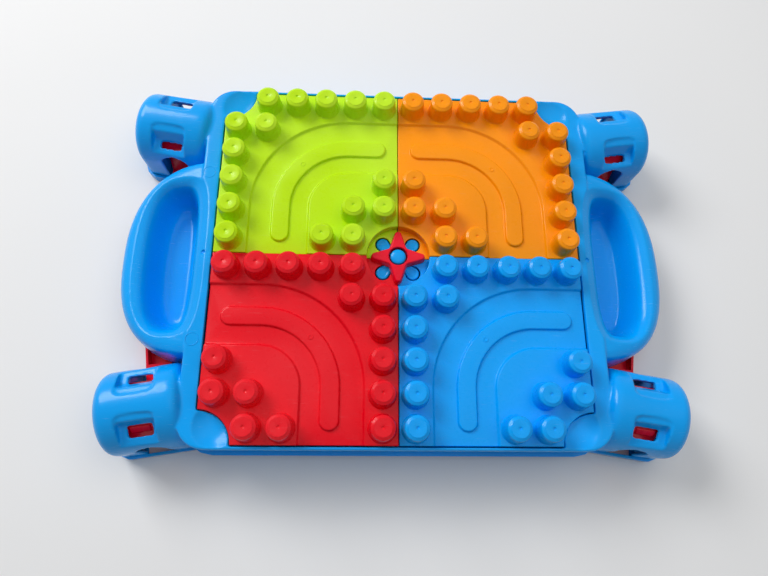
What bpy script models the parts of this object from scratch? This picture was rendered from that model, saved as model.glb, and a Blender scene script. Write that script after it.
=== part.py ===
"""Building block table: a folding play table with four stud plates and a storage tub.

Units are metres, +Z up, origin on the floor under the middle of the table, +X to the right
along the long side. The table is modelled with its legs folded, as it stands on the floor.
Run with: blender --background --python part.py
"""
import math

import bmesh
import bpy
from mathutils import Matrix, Vector

# Block grid and studs
PITCH = 0.032
PLATE_CELLS = 6
STUD_BASE_R = 0.0132
STUD_SHOULDER_R = 0.0123
STUD_TOP_R = 0.0089
STUD_HEIGHT = 0.020
STUD_SHOULDER_DROP = 0.0030
STUD_WALL = 0.0024
STUD_SIDES = 9
BORE_SIDES = 5

# Plates
DECK_Z = 0.076
PLATE_DEPTH = 0.014
PLATE_SKIN = 0.0025
SEAM_GAP = 0.0006
CORNER_CUT_R = 0.033
LEDGE_DROP = 0.010
LEDGE_SKIN = 0.0035
ROAD_DEPTH = 0.003
ROAD_NEAR = 0.033
ROAD_FAR = 0.097
ROAD_ARC_INSET = 0.054
RIDGE_WIDTH = 0.0185
RIDGE_LINE = 0.067
RIDGE_END_GAP = 0.013

# Top frame
WELL_CLEARANCE = 0.0010
RIM_WALL = 0.003
RAIL_WIDTH = 0.018
FRAME_CORNER_R = 0.028
FRAME_SPLIT_Z = 0.034
WALL = 0.003
LEDGE_WIDTH = 0.007
TOP_ROUND = 0.0025
SCOOP_R = 0.040
SCOOP_DEPTH = 0.0065

# Side trays that serve as handles
TRAY_ROOT_X = 0.200
TRAY_REACH = 0.097
TRAY_HALF = 0.110
TRAY_POWER = 2.5
TRAY_SKIRT_Z = 0.019
TRAY_FLOOR_Z = 0.0215
TRAY_FALL = 0.275
SKIRT_LEVELS = ((0.0, 0.0), (0.001, 0.016))
CREST_LEVELS = ((0.0035, 0.0073), (0.009, 0.0013), (0.017, 0.0003))
RECESS_POWER = 3.2
RECESS_LEVELS = ((0.020, 0.046, 0.057, 0.0), (0.015, 0.040, 0.051, 0.0025),
                 (0.009, 0.035, 0.046, 0.0115))
RECESS_RIM_LEVELS = ((0.003, 0.030, 0.0385, 0.0115), (-0.0025, 0.025, 0.0335, 0.0045),
                     (-0.010, 0.0185, 0.0275, 0.0004), (-0.019, 0.007, 0.016, -0.006))

# Corner barrels that house the leg hinges
HINGE_X = 0.245
FOLD_GAP = 0.008
FOOT_CLEARANCE = 0.002
SPLAY_DEG = 9.0
BARREL_R = 0.041
COLLAR_RISE = 0.002
COLLAR_END = -0.0085
BARREL_INNER = -0.036
BARREL_STRAIGHT = 0.0345
BARREL_DOME = 0.0165
HOOD_BOTTOM_Z = 0.012
DOME_ANGLES = (90, 62, 38, 14)
NECK_STEP = 0.008
NECK_LENGTH = 0.016
CHAMBER_HALF = 0.0183
BULKHEAD = 0.003
POCKET_DEPTH = 0.008
POCKET_INNER = -0.0078
POCKET_OUTER = 0.0265
POCKET_WALL_DEG = 68.0
POCKET_SHELF_DEG = 20.0
BROW_DEG = 17.0
BROW_DEPTH = 0.0014
BROW_SPRING = 0.0010
BROW_ARCH = 0.0058
BROW_LOWER = 0.010
BROW_INSET = 0.0006
WINDOW_CENTRE = 0.005
WINDOW_LENGTH = 0.023
WINDOW_TOP = -0.0004
WINDOW_HEIGHT = 0.0080
TUNNEL_HALF = 0.0150
TUNNEL_TOP_Z = 0.056
TUNNEL_ROUND = 0.010

# Bottom shell
TUB_FLANGE = 0.0035
TUB_FLANGE_Y = 0.0045
TUB_DRAFT = 0.005
TUB_FLOOR_Z = 0.002
TUB_FLOOR = 0.003
FOOT_RIM = 0.008
TUB_INSIDE_R = 0.008
BAND_RISE = 0.0030
BAND_WALL = 0.0030
BAND_LIFT = 0.0004
SHELL_GAP = 0.0003

# Centre lock
POST_R = 0.020
POST_WALL = 0.003
POST_WEB_DROP = 0.024
SPINDLE_SEAT = 0.015
LOBE_REACH = 0.0225
LOBE_R = 0.0068
LOBE_GAP = 0.0008
KNOB_TIP = 0.029
KNOB_TIP_HALF = 0.0042
KNOB_WAIST = 0.0135
KNOB_THICK = 0.009
KNOB_HOLE_R = 0.0102
KNOB_STUB_R = 0.0120
KNOB_STUB = 0.006
KNOB_LIP = 0.003
SPINDLE_HEAD_R = 0.0082
SPINDLE_R = 0.0042
KNOB_GAP = 0.0004

# Legs, pins and latch buttons
HUB_GAP = 0.001
HUB_HALF = 0.0175
LEG_LENGTH = 0.150
LEG_HALF = 0.0135
LEG_INSET = 0.001
LEG_THICK = 0.014
FOOT_HALF = 0.018
FOOT_LENGTH = 0.022
LEG_WALL = 0.0025
PIN_R = 0.004
PIN_CLEARANCE = 0.0003
BUTTON_LENGTH = 0.020
BUTTON_HEIGHT = 0.0075
BUTTON_DEPTH = 0.0080
BUTTON_TRAVEL = 0.004
BUTTON_GAP = 0.0005
BUTTON_FACE_GAP = 0.0007
BORE_FACETS = 8

# Screws
SCREW_R = 0.0018
SCREW_HEAD_R = 0.0035
SCREW_HEAD = 0.0022
SCREW_LENGTH = 0.012
BOSS_R = 0.0045
RAIL_SCREW_YS = (0.032, 0.088)

# Values worked out from the sizes above
PLATE_SPAN = PITCH * PLATE_CELLS
PLATE_BASE_Z = DECK_Z - PLATE_DEPTH
SEAT_Z = PLATE_BASE_Z - SHELL_GAP
WELL_HALF = PLATE_SPAN + WELL_CLEARANCE
FRAME_X = WELL_HALF + RAIL_WIDTH
FRAME_Y = WELL_HALF + RIM_WALL
CREST_X = FRAME_X - TOP_ROUND
TRAY_BACK_X = CREST_X - TOP_ROUND
CHANNEL_X = FRAME_X - WALL * 2
TUB_X = FRAME_X + TUB_FLANGE
TUB_Y = FRAME_Y + TUB_FLANGE_Y
TUB_CORNER_R = FRAME_CORNER_R + TUB_FLANGE
TUB_WALL_X = WELL_HALF - WALL
TUB_WALL_Y = WELL_HALF
LEDGE_INNER = WELL_HALF - LEDGE_WIDTH
SPLAY = math.radians(SPLAY_DEG)
HINGE_Y = FOLD_GAP + LEG_LENGTH * math.cos(SPLAY)
LEG_OUTER = BARREL_R - LEG_INSET
HINGE_Z = LEG_OUTER + FOOT_CLEARANCE
CHAMBER_R = BARREL_R - WALL
NECK_R = BARREL_R - NECK_STEP
POCKET_FLOOR_R = BARREL_R - POCKET_DEPTH
HUB_R = POCKET_FLOOR_R - WALL - HUB_GAP
HUB_BORE_FACETED_R = (PIN_R + PIN_CLEARANCE) / math.cos(math.pi / BORE_FACETS)
PIN_END = CHAMBER_HALF + BULKHEAD + 0.001
STUD_TOP_Z = DECK_Z + STUD_HEIGHT
LEDGE_TOP_Z = DECK_Z - LEDGE_DROP
LEDGE_BASE_Z = LEDGE_TOP_Z - LEDGE_SKIN
KNOB_BASE_Z = LEDGE_TOP_Z + SHELL_GAP
KNOB_TOP_Z = KNOB_BASE_Z + KNOB_THICK
STUB_BASE_Z = KNOB_BASE_Z - KNOB_STUB
SOCKET_Z = STUB_BASE_Z - SHELL_GAP
POST_SEAT_Z = LEDGE_BASE_Z - SHELL_GAP
POST_WEB_Z = SEAT_Z - POST_WEB_DROP
SPINDLE_FOOT_Z = SEAT_Z - SPINDLE_SEAT
BLUE = (0.004, 0.352, 0.880)
LIME = (0.520, 0.820, 0.022)
ORANGE = (0.930, 0.300, 0.002)
RED = (0.800, 0.010, 0.020)

EPS = 0.0005
FAR = 0.4
FLAT_TOLERANCE = 0.0000005
FLAT_OFFSET = 0.000002
WELD_DISTANCE = 0.00002


def start_scene():
    """Empty the scene and make the two collections."""
    for obj in list(bpy.data.objects):
        bpy.data.objects.remove(obj, do_unlink=True)
    collections = {}
    for name in ("block_table", "cutters"):
        collection = bpy.data.collections.new(name)
        bpy.context.scene.collection.children.link(collection)
        collections[name] = collection
    return collections


COLLECTIONS = start_scene()


def plastic(name, colour, roughness):
    """A moulded plastic material."""
    material = bpy.data.materials.new(name)
    material.use_nodes = True
    shader = material.node_tree.nodes["Principled BSDF"]
    shader.inputs["Base Color"].default_value = (*colour, 1.0)
    shader.inputs["Roughness"].default_value = roughness
    shader.inputs["Metallic"].default_value = 0.0
    return material


def steel(name):
    """Plated steel for pins and screws."""
    material = plastic(name, (0.55, 0.56, 0.58), 0.3)
    material.node_tree.nodes["Principled BSDF"].inputs["Metallic"].default_value = 1.0
    return material


def new_object(name, mesh, collection="cutters", material=None):
    """Link a mesh as an object; whatever lies in the cutters collection is hidden."""
    obj = bpy.data.objects.new(name, mesh)
    COLLECTIONS[collection].objects.link(obj)
    if collection == "cutters":
        obj.hide_render = True
        obj.display_type = "WIRE"
    if material is not None:
        mesh.materials.clear()
        mesh.materials.append(material)
    return obj


def place(obj, matrix):
    """Bake a placement into the mesh of a cutter or an added form."""
    obj.data.transform(matrix)
    if matrix.determinant() < 0:
        obj.data.flip_normals()
    return obj


def prism(name, loops, low, high):
    """A flat outline, with any holes, filled and extruded between two heights."""
    curve = bpy.data.curves.new(name, "CURVE")
    curve.dimensions = "2D"
    curve.fill_mode = "BOTH"
    curve.extrude = (high - low) / 2
    for loop in loops:
        spline = curve.splines.new("POLY")
        spline.points.add(len(loop) - 1)
        for point, (x, y) in zip(spline.points, loop):
            point.co = (x, y, 0.0, 1.0)
        spline.use_cyclic_u = True
    flat = bpy.data.objects.new(name + "_outline", curve)
    COLLECTIONS["cutters"].objects.link(flat)
    flat.location.z = (high + low) / 2
    bpy.context.view_layer.update()
    depsgraph = bpy.context.evaluated_depsgraph_get()
    mesh = bpy.data.meshes.new_from_object(flat.evaluated_get(depsgraph))
    mesh.transform(flat.matrix_world)
    bpy.data.objects.remove(flat, do_unlink=True)
    weld(mesh)
    return new_object(name, mesh)


def weld(mesh):
    """Merge the loose caps of a mesh and point its faces outwards."""
    shape = bmesh.new()
    shape.from_mesh(mesh)
    bmesh.ops.remove_doubles(shape, verts=shape.verts, dist=0.00001)
    bmesh.ops.recalc_face_normals(shape, faces=shape.faces)
    shape.to_mesh(mesh)
    shape.free()


def loft(name, rings):
    """A closed solid through rings of equally many points, capped at both ends."""
    shape = bmesh.new()
    layers = [[shape.verts.new(point) for point in ring] for ring in rings]
    count = len(layers[0])
    for lower, upper in zip(layers, layers[1:]):
        for i in range(count):
            j = (i + 1) % count
            shape.faces.new((lower[i], lower[j], upper[j], upper[i]))
    shape.faces.new(list(reversed(layers[0])))
    shape.faces.new(layers[-1])
    bmesh.ops.recalc_face_normals(shape, faces=shape.faces)
    mesh = bpy.data.meshes.new(name)
    shape.to_mesh(mesh)
    shape.free()
    return new_object(name, mesh)


def box(name, low, high):
    """A box between two corners."""
    shape = bmesh.new()
    bmesh.ops.create_cube(shape, size=1.0)
    size = Vector(high) - Vector(low)
    centre = (Vector(high) + Vector(low)) / 2
    for vert in shape.verts:
        vert.co = centre + Vector([vert.co[i] * size[i] for i in range(3)])
    mesh = bpy.data.meshes.new(name)
    shape.to_mesh(mesh)
    shape.free()
    return new_object(name, mesh)


def rod(name, radius, low, high, sides, centre=(0.0, 0.0)):
    """An upright cylinder between two heights."""
    shape = bmesh.new()
    bmesh.ops.create_cone(
        shape, cap_ends=True, segments=sides, radius1=radius, radius2=radius, depth=high - low,
        matrix=Matrix.Translation((centre[0], centre[1], (high + low) / 2)))
    mesh = bpy.data.meshes.new(name)
    shape.to_mesh(mesh)
    shape.free()
    return new_object(name, mesh)


def turned(name, profile, steps):
    """Turn a profile of (radius, height), listed top to bottom, about Z with a Screw modifier."""
    shape = bmesh.new()
    verts = [shape.verts.new((radius, 0.0, height)) for radius, height in profile]
    for first, second in zip(verts, verts[1:]):
        shape.edges.new((first, second))
    mesh = bpy.data.meshes.new(name + "_profile")
    shape.to_mesh(mesh)
    shape.free()
    obj = new_object(name + "_profile", mesh)
    screw = obj.modifiers.new("turn", "SCREW")
    screw.angle = 2 * math.pi
    screw.steps = steps
    screw.render_steps = steps
    screw.use_merge_vertices = True
    screw.merge_threshold = 0.00005
    screw.use_smooth_shade = False
    bpy.context.view_layer.update()
    depsgraph = bpy.context.evaluated_depsgraph_get()
    solid = bpy.data.meshes.new_from_object(obj.evaluated_get(depsgraph))
    solid.name = name
    bpy.data.objects.remove(obj, do_unlink=True)
    weld(solid)
    return new_object(name, solid)


def combine(target, operand, operation):
    """Add one Boolean modifier to the target."""
    modifier = target.modifiers.new(operand.name, "BOOLEAN")
    modifier.operation = operation
    modifier.solver = "EXACT"
    modifier.object = operand
    return target


def cut(target, *cutters):
    """Subtract each cutter from the target."""
    for cutter in cutters:
        combine(target, cutter, "DIFFERENCE")
    return target


def fuse(target, *pieces):
    """Join each piece to the target as one body."""
    for piece in pieces:
        combine(target, piece, "UNION")
    return target


def gather(name, objects):
    """Join separate, disjoint cutters into one object."""
    shape = bmesh.new()
    for obj in objects:
        shape.from_mesh(obj.data)
        bpy.data.objects.remove(obj, do_unlink=True)
    mesh = bpy.data.meshes.new(name)
    shape.to_mesh(mesh)
    shape.free()
    return new_object(name, mesh)


def settle(obj, name, collection="cutters", material=None):
    """Apply every modifier of an object to a new mesh and link it under a name."""
    bpy.context.view_layer.update()
    depsgraph = bpy.context.evaluated_depsgraph_get()
    mesh = bpy.data.meshes.new_from_object(obj.evaluated_get(depsgraph))
    bpy.data.objects.remove(obj, do_unlink=True)
    mesh.name = name
    if collection != "cutters":
        refill_flats(mesh)
    return new_object(name, mesh, collection, material)


def flat_regions(shape):
    """Number the flat areas of a mesh, face by face, and list the normal of each."""
    region = {}
    normals = []
    for seed in shape.faces:
        if seed in region:
            continue
        region[seed] = len(normals)
        stack = [seed]
        while stack:
            face = stack.pop()
            for edge in face.edges:
                for other in edge.link_faces:
                    if other in region or seed.normal.dot(other.normal) < 1 - FLAT_TOLERANCE:
                        continue
                    offset = (other.calc_center_median() - seed.verts[0].co).dot(seed.normal)
                    if abs(offset) < FLAT_OFFSET:
                        region[other] = len(normals)
                        stack.append(other)
        normals.append(seed.normal.copy())
    return region, normals


def in_line(vert):
    """True where a vertex only splits a straight edge between the same two areas."""
    if len(vert.link_edges) != 2:
        return False
    first, second = [edge.other_vert(vert).co - vert.co for edge in vert.link_edges]
    if min(first.length, second.length) < FLAT_OFFSET:
        return False
    return first.normalized().dot(second.normalized()) < FLAT_TOLERANCE - 1


def refill_flats(mesh):
    """Fill each flat area again from its outline, without the seams that Booleans leave."""
    shape = bmesh.new()
    shape.from_mesh(mesh)
    bmesh.ops.remove_doubles(shape, verts=shape.verts, dist=WELD_DISTANCE)
    bmesh.ops.dissolve_degenerate(shape, edges=shape.edges, dist=WELD_DISTANCE / 2)
    sides = [shape.edges.layers.int.new("side_a"), shape.edges.layers.int.new("side_b")]
    region, normals = flat_regions(shape)
    spare = []
    for edge in shape.edges:
        touching = [region[face] for face in edge.link_faces]
        if len(touching) == 2 and touching[0] != touching[1]:
            for layer, number in zip(sides, touching):
                edge[layer] = number + 1
        else:
            spare.append(edge)
    bmesh.ops.delete(shape, geom=list(shape.faces), context="FACES_ONLY")
    bmesh.ops.delete(shape, geom=spare, context="EDGES")
    bmesh.ops.dissolve_verts(shape, verts=[vert for vert in shape.verts if in_line(vert)])
    borders = [[] for normal in normals]
    for edge in shape.edges:
        for layer in sides:
            borders[edge[layer] - 1].append(edge)
    for normal, border in zip(normals, borders):
        if border:
            bmesh.ops.triangle_fill(shape, edges=border, normal=normal, use_beauty=True)
    bmesh.ops.recalc_face_normals(shape, faces=shape.faces)
    if all(len(edge.link_faces) == 2 for edge in shape.edges):
        shape.to_mesh(mesh)
    shape.free()


def shade(obj, angle_deg=35.0):
    """Smooth shading that keeps edges sharper than the angle."""
    obj.data.shade_smooth()
    obj.data.set_sharp_from_angle(angle=math.radians(angle_deg))
    return obj


def arc(centre, radius, start_deg, end_deg, steps):
    """Points along an arc, both ends included."""
    points = []
    for i in range(steps + 1):
        angle = math.radians(start_deg + (end_deg - start_deg) * i / steps)
        points.append((centre[0] + radius * math.cos(angle), centre[1] + radius * math.sin(angle)))
    return points


def rounded_rectangle(half_x, half_y, radius, steps=4):
    """A rectangle outline with round corners, anticlockwise."""
    points = []
    for corner, (sx, sy) in enumerate(((1, 1), (-1, 1), (-1, -1), (1, -1))):
        centre = (sx * (half_x - radius), sy * (half_y - radius))
        points += arc(centre, radius, 90 * corner, 90 * corner + 90, steps)
    return points


def at_height(outline, height):
    """Lift a flat outline to a height."""
    return [(x, y, height) for x, y in outline]


def scalloped_square(half, radius, centre_half, steps=6):
    """A square outline whose corners are scooped by arcs about the nominal corners."""
    reach = math.sqrt(max(radius ** 2 - (half - centre_half) ** 2, 0.0))
    swing = math.degrees(math.acos(reach / radius))
    inset = 1.0 if half >= centre_half else -1.0
    points = []
    for turn in range(4):
        angle = 90 * turn
        corner = Matrix.Rotation(math.radians(angle), 2) @ Vector((centre_half, centre_half))
        start = 270 + angle + inset * swing
        end = 180 + angle - inset * swing
        points += arc(corner, radius, start, end, steps)
    return points


# Plates: all four share one moulding, drawn about its own centre with the deck at Z = 0.
# Its L corner is at -X -Y and its cluster corner at +X +Y.

def stud_cells():
    """Cells of the sixteen studs, counted from the L corner."""
    last = PLATE_CELLS - 1
    row = [(i, 0) for i in range(1, PLATE_CELLS)]
    column = [(0, i) for i in range(1, PLATE_CELLS)]
    cluster = [(last, last - 2), (last - 1, last - 1), (last, last - 1),
               (last - 2, last), (last - 1, last)]
    return row + column + [(1, 1)] + cluster


def cell_centre(cell):
    """Middle of a cell in the plate's own frame."""
    return tuple((index + 0.5) * PITCH - PLATE_SPAN / 2 for index in cell)


def plate_studs():
    """The studs, each a turned cap that reaches into the skin below it."""
    profile = [
        (0.0, STUD_HEIGHT), (STUD_TOP_R, STUD_HEIGHT),
        (STUD_SHOULDER_R, STUD_HEIGHT - STUD_SHOULDER_DROP), (STUD_BASE_R, 0.0),
        (STUD_BASE_R, -PLATE_SKIN / 2), (0.0, -PLATE_SKIN / 2)]
    studs = []
    for cell in stud_cells():
        stud = turned("stud", profile, STUD_SIDES)
        place(stud, Matrix.Translation((*cell_centre(cell), 0.0)))
        studs.append(stud)
    return gather("plate_studs", studs)


def plate_bores():
    """Hollows under the studs."""
    radius = STUD_TOP_R - STUD_WALL / 4
    top = STUD_HEIGHT - STUD_WALL
    bores = [rod("bore", radius, -PLATE_DEPTH, top, BORE_SIDES, cell_centre(cell))
             for cell in stud_cells()]
    return gather("plate_bores", bores)


def bent_band(near, far, end, steps, round_ends):
    """Outline of an L-bent band between two offsets from the L sides of the plate."""
    half = PLATE_SPAN / 2
    middle = half - ROAD_ARC_INSET
    outer = middle + half - near
    inner = middle + half - far
    width = (outer - inner) / 2
    line = (outer + inner) / 2
    points = arc((middle, middle), outer, 180, 270, steps)
    if round_ends:
        points += arc((end - width, middle - line), width, -90, 90, 4)
    else:
        points += [(end, middle - outer), (end, middle - inner)]
    points += arc((middle, middle), inner, 270, 180, max(steps * 2 // 3, 4))
    if round_ends:
        points += arc((middle - line, end - width), width, 0, 180, 4)
    else:
        points += [(middle - inner, end), (middle - outer, end)]
    return points


def lock_ledge(sign):
    """The low quarter ledge in one scooped corner, with its keyhole notch for the knob's arm."""
    corner = Vector((sign * PLATE_SPAN / 2, sign * PLATE_SPAN / 2))
    base_angle = 180 if sign > 0 else 0
    inner = KNOB_STUB_R + KNOB_GAP * 2
    outer = CORNER_CUT_R + PLATE_SKIN / 2
    first = math.degrees(math.asin(SEAM_GAP / 2 / inner))
    last = math.degrees(math.asin(SEAM_GAP / 2 / outer))
    points = arc(corner, outer, base_angle + last, base_angle + 90 - last, 6)
    points += arc(corner, inner, base_angle + 90 - first, base_angle + first, 4)
    ledge = prism("ledge", [points], -LEDGE_DROP - LEDGE_SKIN, -LEDGE_DROP)
    notch = prism("notch", [lobe_outline(LOBE_R + LOBE_GAP)], -PLATE_DEPTH, 0.0)
    turn = Matrix.Rotation(math.radians(base_angle + 45), 4, "Z")
    place(notch, Matrix.Translation((corner.x, corner.y, 0.0)) @ turn)
    cut(ledge, notch)
    return settle(ledge, "lock_ledge")


def lobe_outline(radius):
    """A teardrop along +X whose point is at the centre and whose round end sits at the reach."""
    lean = math.degrees(math.acos(radius / LOBE_REACH))
    return [(0.0, 0.0)] + arc((LOBE_REACH, 0.0), radius, -180 + lean, 180 - lean, 6)


def plate_mesh():
    """One stud plate: skirted block, road, ridge, studs, bores and the two ledges."""
    half = PLATE_SPAN / 2
    edge = half - SEAM_GAP / 2
    block = prism("plate_block", [scoop_pair(edge, CORNER_CUT_R)], -PLATE_DEPTH, 0.0)
    road = prism("road", [bent_band(ROAD_NEAR, ROAD_FAR, half + EPS * 4, 6, False)],
                 -ROAD_DEPTH, EPS * 4)
    ridge = prism("ridge", [bent_band(RIDGE_LINE - RIDGE_WIDTH / 2, RIDGE_LINE + RIDGE_WIDTH / 2,
                                      half - RIDGE_END_GAP, 6, True)],
                  -ROAD_DEPTH - PLATE_SKIN / 2, 0.0)
    hollow = prism("plate_hollow",
                   [scoop_pair(edge - PLATE_SKIN, CORNER_CUT_R + PLATE_SKIN)],
                   -PLATE_DEPTH - EPS, -ROAD_DEPTH - PLATE_SKIN)
    cut(block, road, hollow)
    fuse(block, ridge, plate_studs())
    cut(block, plate_bores())
    fuse(block, lock_ledge(1), lock_ledge(-1))
    plate = settle(block, "plate")
    refill_flats(plate.data)
    return plate


def scoop_pair(edge, radius):
    """The plate outline: a square scooped at the L corner and at the cluster corner."""
    half = PLATE_SPAN / 2
    lean = math.degrees(math.asin((half - edge) / radius))
    points = arc((half, half), radius, 270 - lean, 180 + lean, 6)
    points += [(-edge, edge)]
    points += arc((-half, -half), radius, 90 - lean, lean, 6)
    points += [(edge, -edge)]
    return points


def build_plates(materials):
    """The four plates, turned so that the lime and orange clusters meet at the lock."""
    master = plate_mesh()
    quarter = PLATE_SPAN / 2
    layout = (("lime_plate", -1, 1, -90), ("orange_plate", 1, 1, 180),
              ("red_plate", -1, -1, 180), ("blue_plate", 1, -1, -90))
    for name, sx, sy, turn in layout:
        plate = new_object(name, master.data.copy(), "block_table", materials[name])
        plate.location = (sx * quarter, sy * quarter, DECK_Z)
        plate.rotation_euler.z = math.radians(turn)
        shade(plate)
    bpy.data.objects.remove(master, do_unlink=True)


# Barrels: drawn in a hinge frame whose X axis is the pin, Y points away from the table's
# middle line and Z is up. The quadrant +X +Y is drawn, and a Mirror makes the other three.

def hinge_matrix(sx, sy):
    """Placement of a hinge frame that stays right-handed in each quadrant."""
    turn = sx * SPLAY if sy > 0 else math.pi - sx * SPLAY
    return Matrix.Translation((sx * HINGE_X, sy * HINGE_Y, HINGE_Z)) @ Matrix.Rotation(turn, 4, "Z")


LAY_X = Matrix.Rotation(math.radians(90), 4, "Y")


def barrel_stations():
    """Distance along the pin and radius of the barrel's outside, from the inner end outwards."""
    step = COLLAR_RISE / 2
    stations = [(BARREL_INNER, BARREL_R), (BARREL_INNER + COLLAR_RISE, BARREL_R + COLLAR_RISE),
                (COLLAR_END - step, BARREL_R + COLLAR_RISE), (COLLAR_END, BARREL_R)]
    for angle in DOME_ANGLES:
        turn = math.radians(angle)
        stations.append((BARREL_STRAIGHT + BARREL_DOME * math.cos(turn),
                         BARREL_R * math.sin(turn)))
    return stations


def arched_ring(along, radius, bottom, steps=10):
    """Section across the pin: a half circle above it and upright walls down to the bottom."""
    ring = [(along, -radius, bottom)]
    for i in range(steps + 1):
        angle = math.pi * i / steps
        ring.append((along, -radius * math.cos(angle), radius * math.sin(angle)))
    ring.append((along, radius, bottom))
    return ring


def foot_outline(grow, inner):
    """The barrel's foot seen from above: straight sides and a round outer end, grown sideways."""
    side = BARREL_R + grow
    near = [(inner, -side)]
    for angle in DOME_ANGLES:
        turn = math.radians(angle)
        near.append((BARREL_STRAIGHT + (BARREL_DOME + grow) * math.cos(turn),
                     -side * math.sin(turn)))
    far = [(x, -y) for x, y in reversed(near)]
    return near + far


def clipped_circle(radius, flat, sides):
    """Points of a circle flattened where it passes the two pocket floors, as (y, z)."""
    points = []
    for i in range(sides):
        angle = 2 * math.pi * i / sides
        y = radius * math.sin(angle)
        z = radius * math.cos(angle)
        for sign in (1, -1):
            over = (sign * y + z) / math.sqrt(2) - flat
            if over > 0:
                y -= sign * over / math.sqrt(2)
                z -= over / math.sqrt(2)
        points.append((y, z))
    return points


def chamber(name, radius, start, end, sides=12):
    """A hollow along the pin: clipped circle above, straight walls down through the bottom."""
    flat = POCKET_FLOOR_R - WALL
    upper = [point for point in clipped_circle(radius, flat, sides) if point[1] > EPS]
    upper.sort(key=lambda point: -math.atan2(point[1], point[0]))
    section = [(-radius, -FAR), (-radius, 0.0)] + upper + [(radius, 0.0), (radius, -FAR)]
    rings = [[(along, y, z) for y, z in section] for along in (start, end)]
    return loft(name, rings)


def barrel_solid():
    """Outside of one barrel with the neck that carries it into the rail."""
    bottom = HOOD_BOTTOM_Z - HINGE_Z
    barrel = loft("barrel", [arched_ring(along, radius, bottom)
                             for along, radius in barrel_stations()])
    neck = loft("barrel_neck", [arched_ring(along, NECK_R, bottom + EPS, 6)
                                for along in (BARREL_INNER - NECK_LENGTH, BARREL_INNER + WALL)])
    fuse(barrel, neck)
    return settle(barrel, "barrel_solid")


def pocket_cutter(sign):
    """Finger scoop on one shoulder of the barrel: a steep wall above a sloping shelf."""
    corner = POCKET_FLOOR_R / math.sqrt(2)
    wall = math.radians(POCKET_WALL_DEG)
    shelf = math.radians(POCKET_SHELF_DEG)
    top = BARREL_R + COLLAR_RISE * 2
    out = BARREL_R * 1.2
    section = [(corner, corner), (corner - (top - corner) / math.tan(wall), top), (out, top),
               (out, corner - (out - corner) * math.tan(shelf))]
    return loft("pocket", [[(along, sign * y, z) for y, z in section]
                           for along in (POCKET_INNER, POCKET_OUTER)])


def brow_cutter(sign):
    """Shallow arched relief that leads into the scoop from the top of the barrel."""
    half = (POCKET_OUTER - POCKET_INNER) / 2 - BROW_INSET
    centre = (POCKET_OUTER + POCKET_INNER) / 2
    arch = [(centre - half, sign * BROW_LOWER)]
    for i in range(6):
        angle = math.pi * i / 5
        arch.append((centre - half * math.cos(angle),
                     -sign * (BROW_SPRING + BROW_ARCH * math.sin(angle))))
    arch.append((centre + half, sign * BROW_LOWER))
    cutter = prism("brow", [arch], BARREL_R - BROW_DEPTH, BARREL_R + COLLAR_RISE * 3)
    return place(cutter, Matrix.Rotation(math.radians(-BROW_DEG * sign), 4, "X"))


def window_cutter(sign):
    """Slot through the shelf of a scoop, in front of the latch button."""
    half_x = WINDOW_LENGTH / 2
    edges = sorted((-sign * WINDOW_TOP, -sign * (WINDOW_TOP - WINDOW_HEIGHT)))
    cutter = box("window", (WINDOW_CENTRE - half_x, edges[0], POCKET_FLOOR_R - WALL * 2),
                 (WINDOW_CENTRE + half_x, edges[1], BARREL_R))
    return place(cutter, Matrix.Rotation(math.radians(-45 * sign), 4, "X"))


def tunnel_outline():
    """Arch section of the slot that the leg swings through, as (x, z)."""
    top = TUNNEL_TOP_Z - HINGE_Z
    spring = top - TUNNEL_ROUND
    points = [(-TUNNEL_HALF, -FAR), (-TUNNEL_HALF, spring)]
    for i in range(1, 4):
        angle = math.pi * i / 4
        points.append((-TUNNEL_HALF * math.cos(angle), spring + TUNNEL_ROUND * math.sin(angle)))
    points += [(TUNNEL_HALF, spring), (TUNNEL_HALF, -FAR)]
    return points


def barrel_cutters():
    """Hollows, leg slot, pockets and windows of one barrel, in the hinge frame."""
    past = CHAMBER_HALF + BULKHEAD
    hollows = [chamber("hub_chamber", CHAMBER_R, -CHAMBER_HALF, CHAMBER_HALF),
               chamber("outer_hollow", CHAMBER_R - WALL / 2, past, BARREL_STRAIGHT + WALL, 8),
               chamber("inner_hollow", NECK_R - WALL, BARREL_INNER + WALL * 2, -past, 8)]
    section = tunnel_outline()
    tunnel = loft("leg_slot", [[(x, -FAR / 4, z) for x, z in section],
                               [(x, FAR / 4, z) for x, z in section]])
    bore = place(rod("pin_bore", HUB_BORE_FACETED_R, -PIN_END - EPS, PIN_END + EPS, BORE_FACETS), LAY_X)
    shoulders = [maker(sign) for sign in (1, -1)
                 for maker in (pocket_cutter, brow_cutter, window_cutter)]
    return hollows + [tunnel, bore] + shoulders


# Side tray

def tray_bow(inset, z_of, back, steps=10):
    """One level of the tray's outside: a blunt bow closed by a straight back at the rail."""
    points = []
    for i in range(steps + 1):
        angle = math.pi * (i / steps - 0.5)
        x = TRAY_ROOT_X + abs(math.cos(angle)) ** (2 / TRAY_POWER) * (TRAY_REACH - inset)
        y = math.copysign(abs(math.sin(angle)) ** (2 / TRAY_POWER), angle) * (TRAY_HALF - inset)
        points.append((max(x, back), y, z_of(max(x, back))))
    return points


def recess_ring(insets, grow, z_of, steps):
    """One level of the recess: a blunt oval, inset from the rail, the tray's tip and its ends."""
    back = FRAME_X + insets[0] - grow
    front = TRAY_ROOT_X + TRAY_REACH - insets[1] + grow
    half = TRAY_HALF - insets[2] + grow
    middle = (back + front) / 2
    reach = (front - back) / 2
    points = []
    for i in range(steps):
        angle = 2 * math.pi * (i + 0.5) / steps
        c = math.cos(angle)
        s = math.sin(angle)
        x = middle + math.copysign(abs(c) ** (2 / RECESS_POWER), c) * reach
        y = math.copysign(abs(s) ** (2 / RECESS_POWER), s) * half
        points.append((x, y, z_of(x)))
    return points


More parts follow.
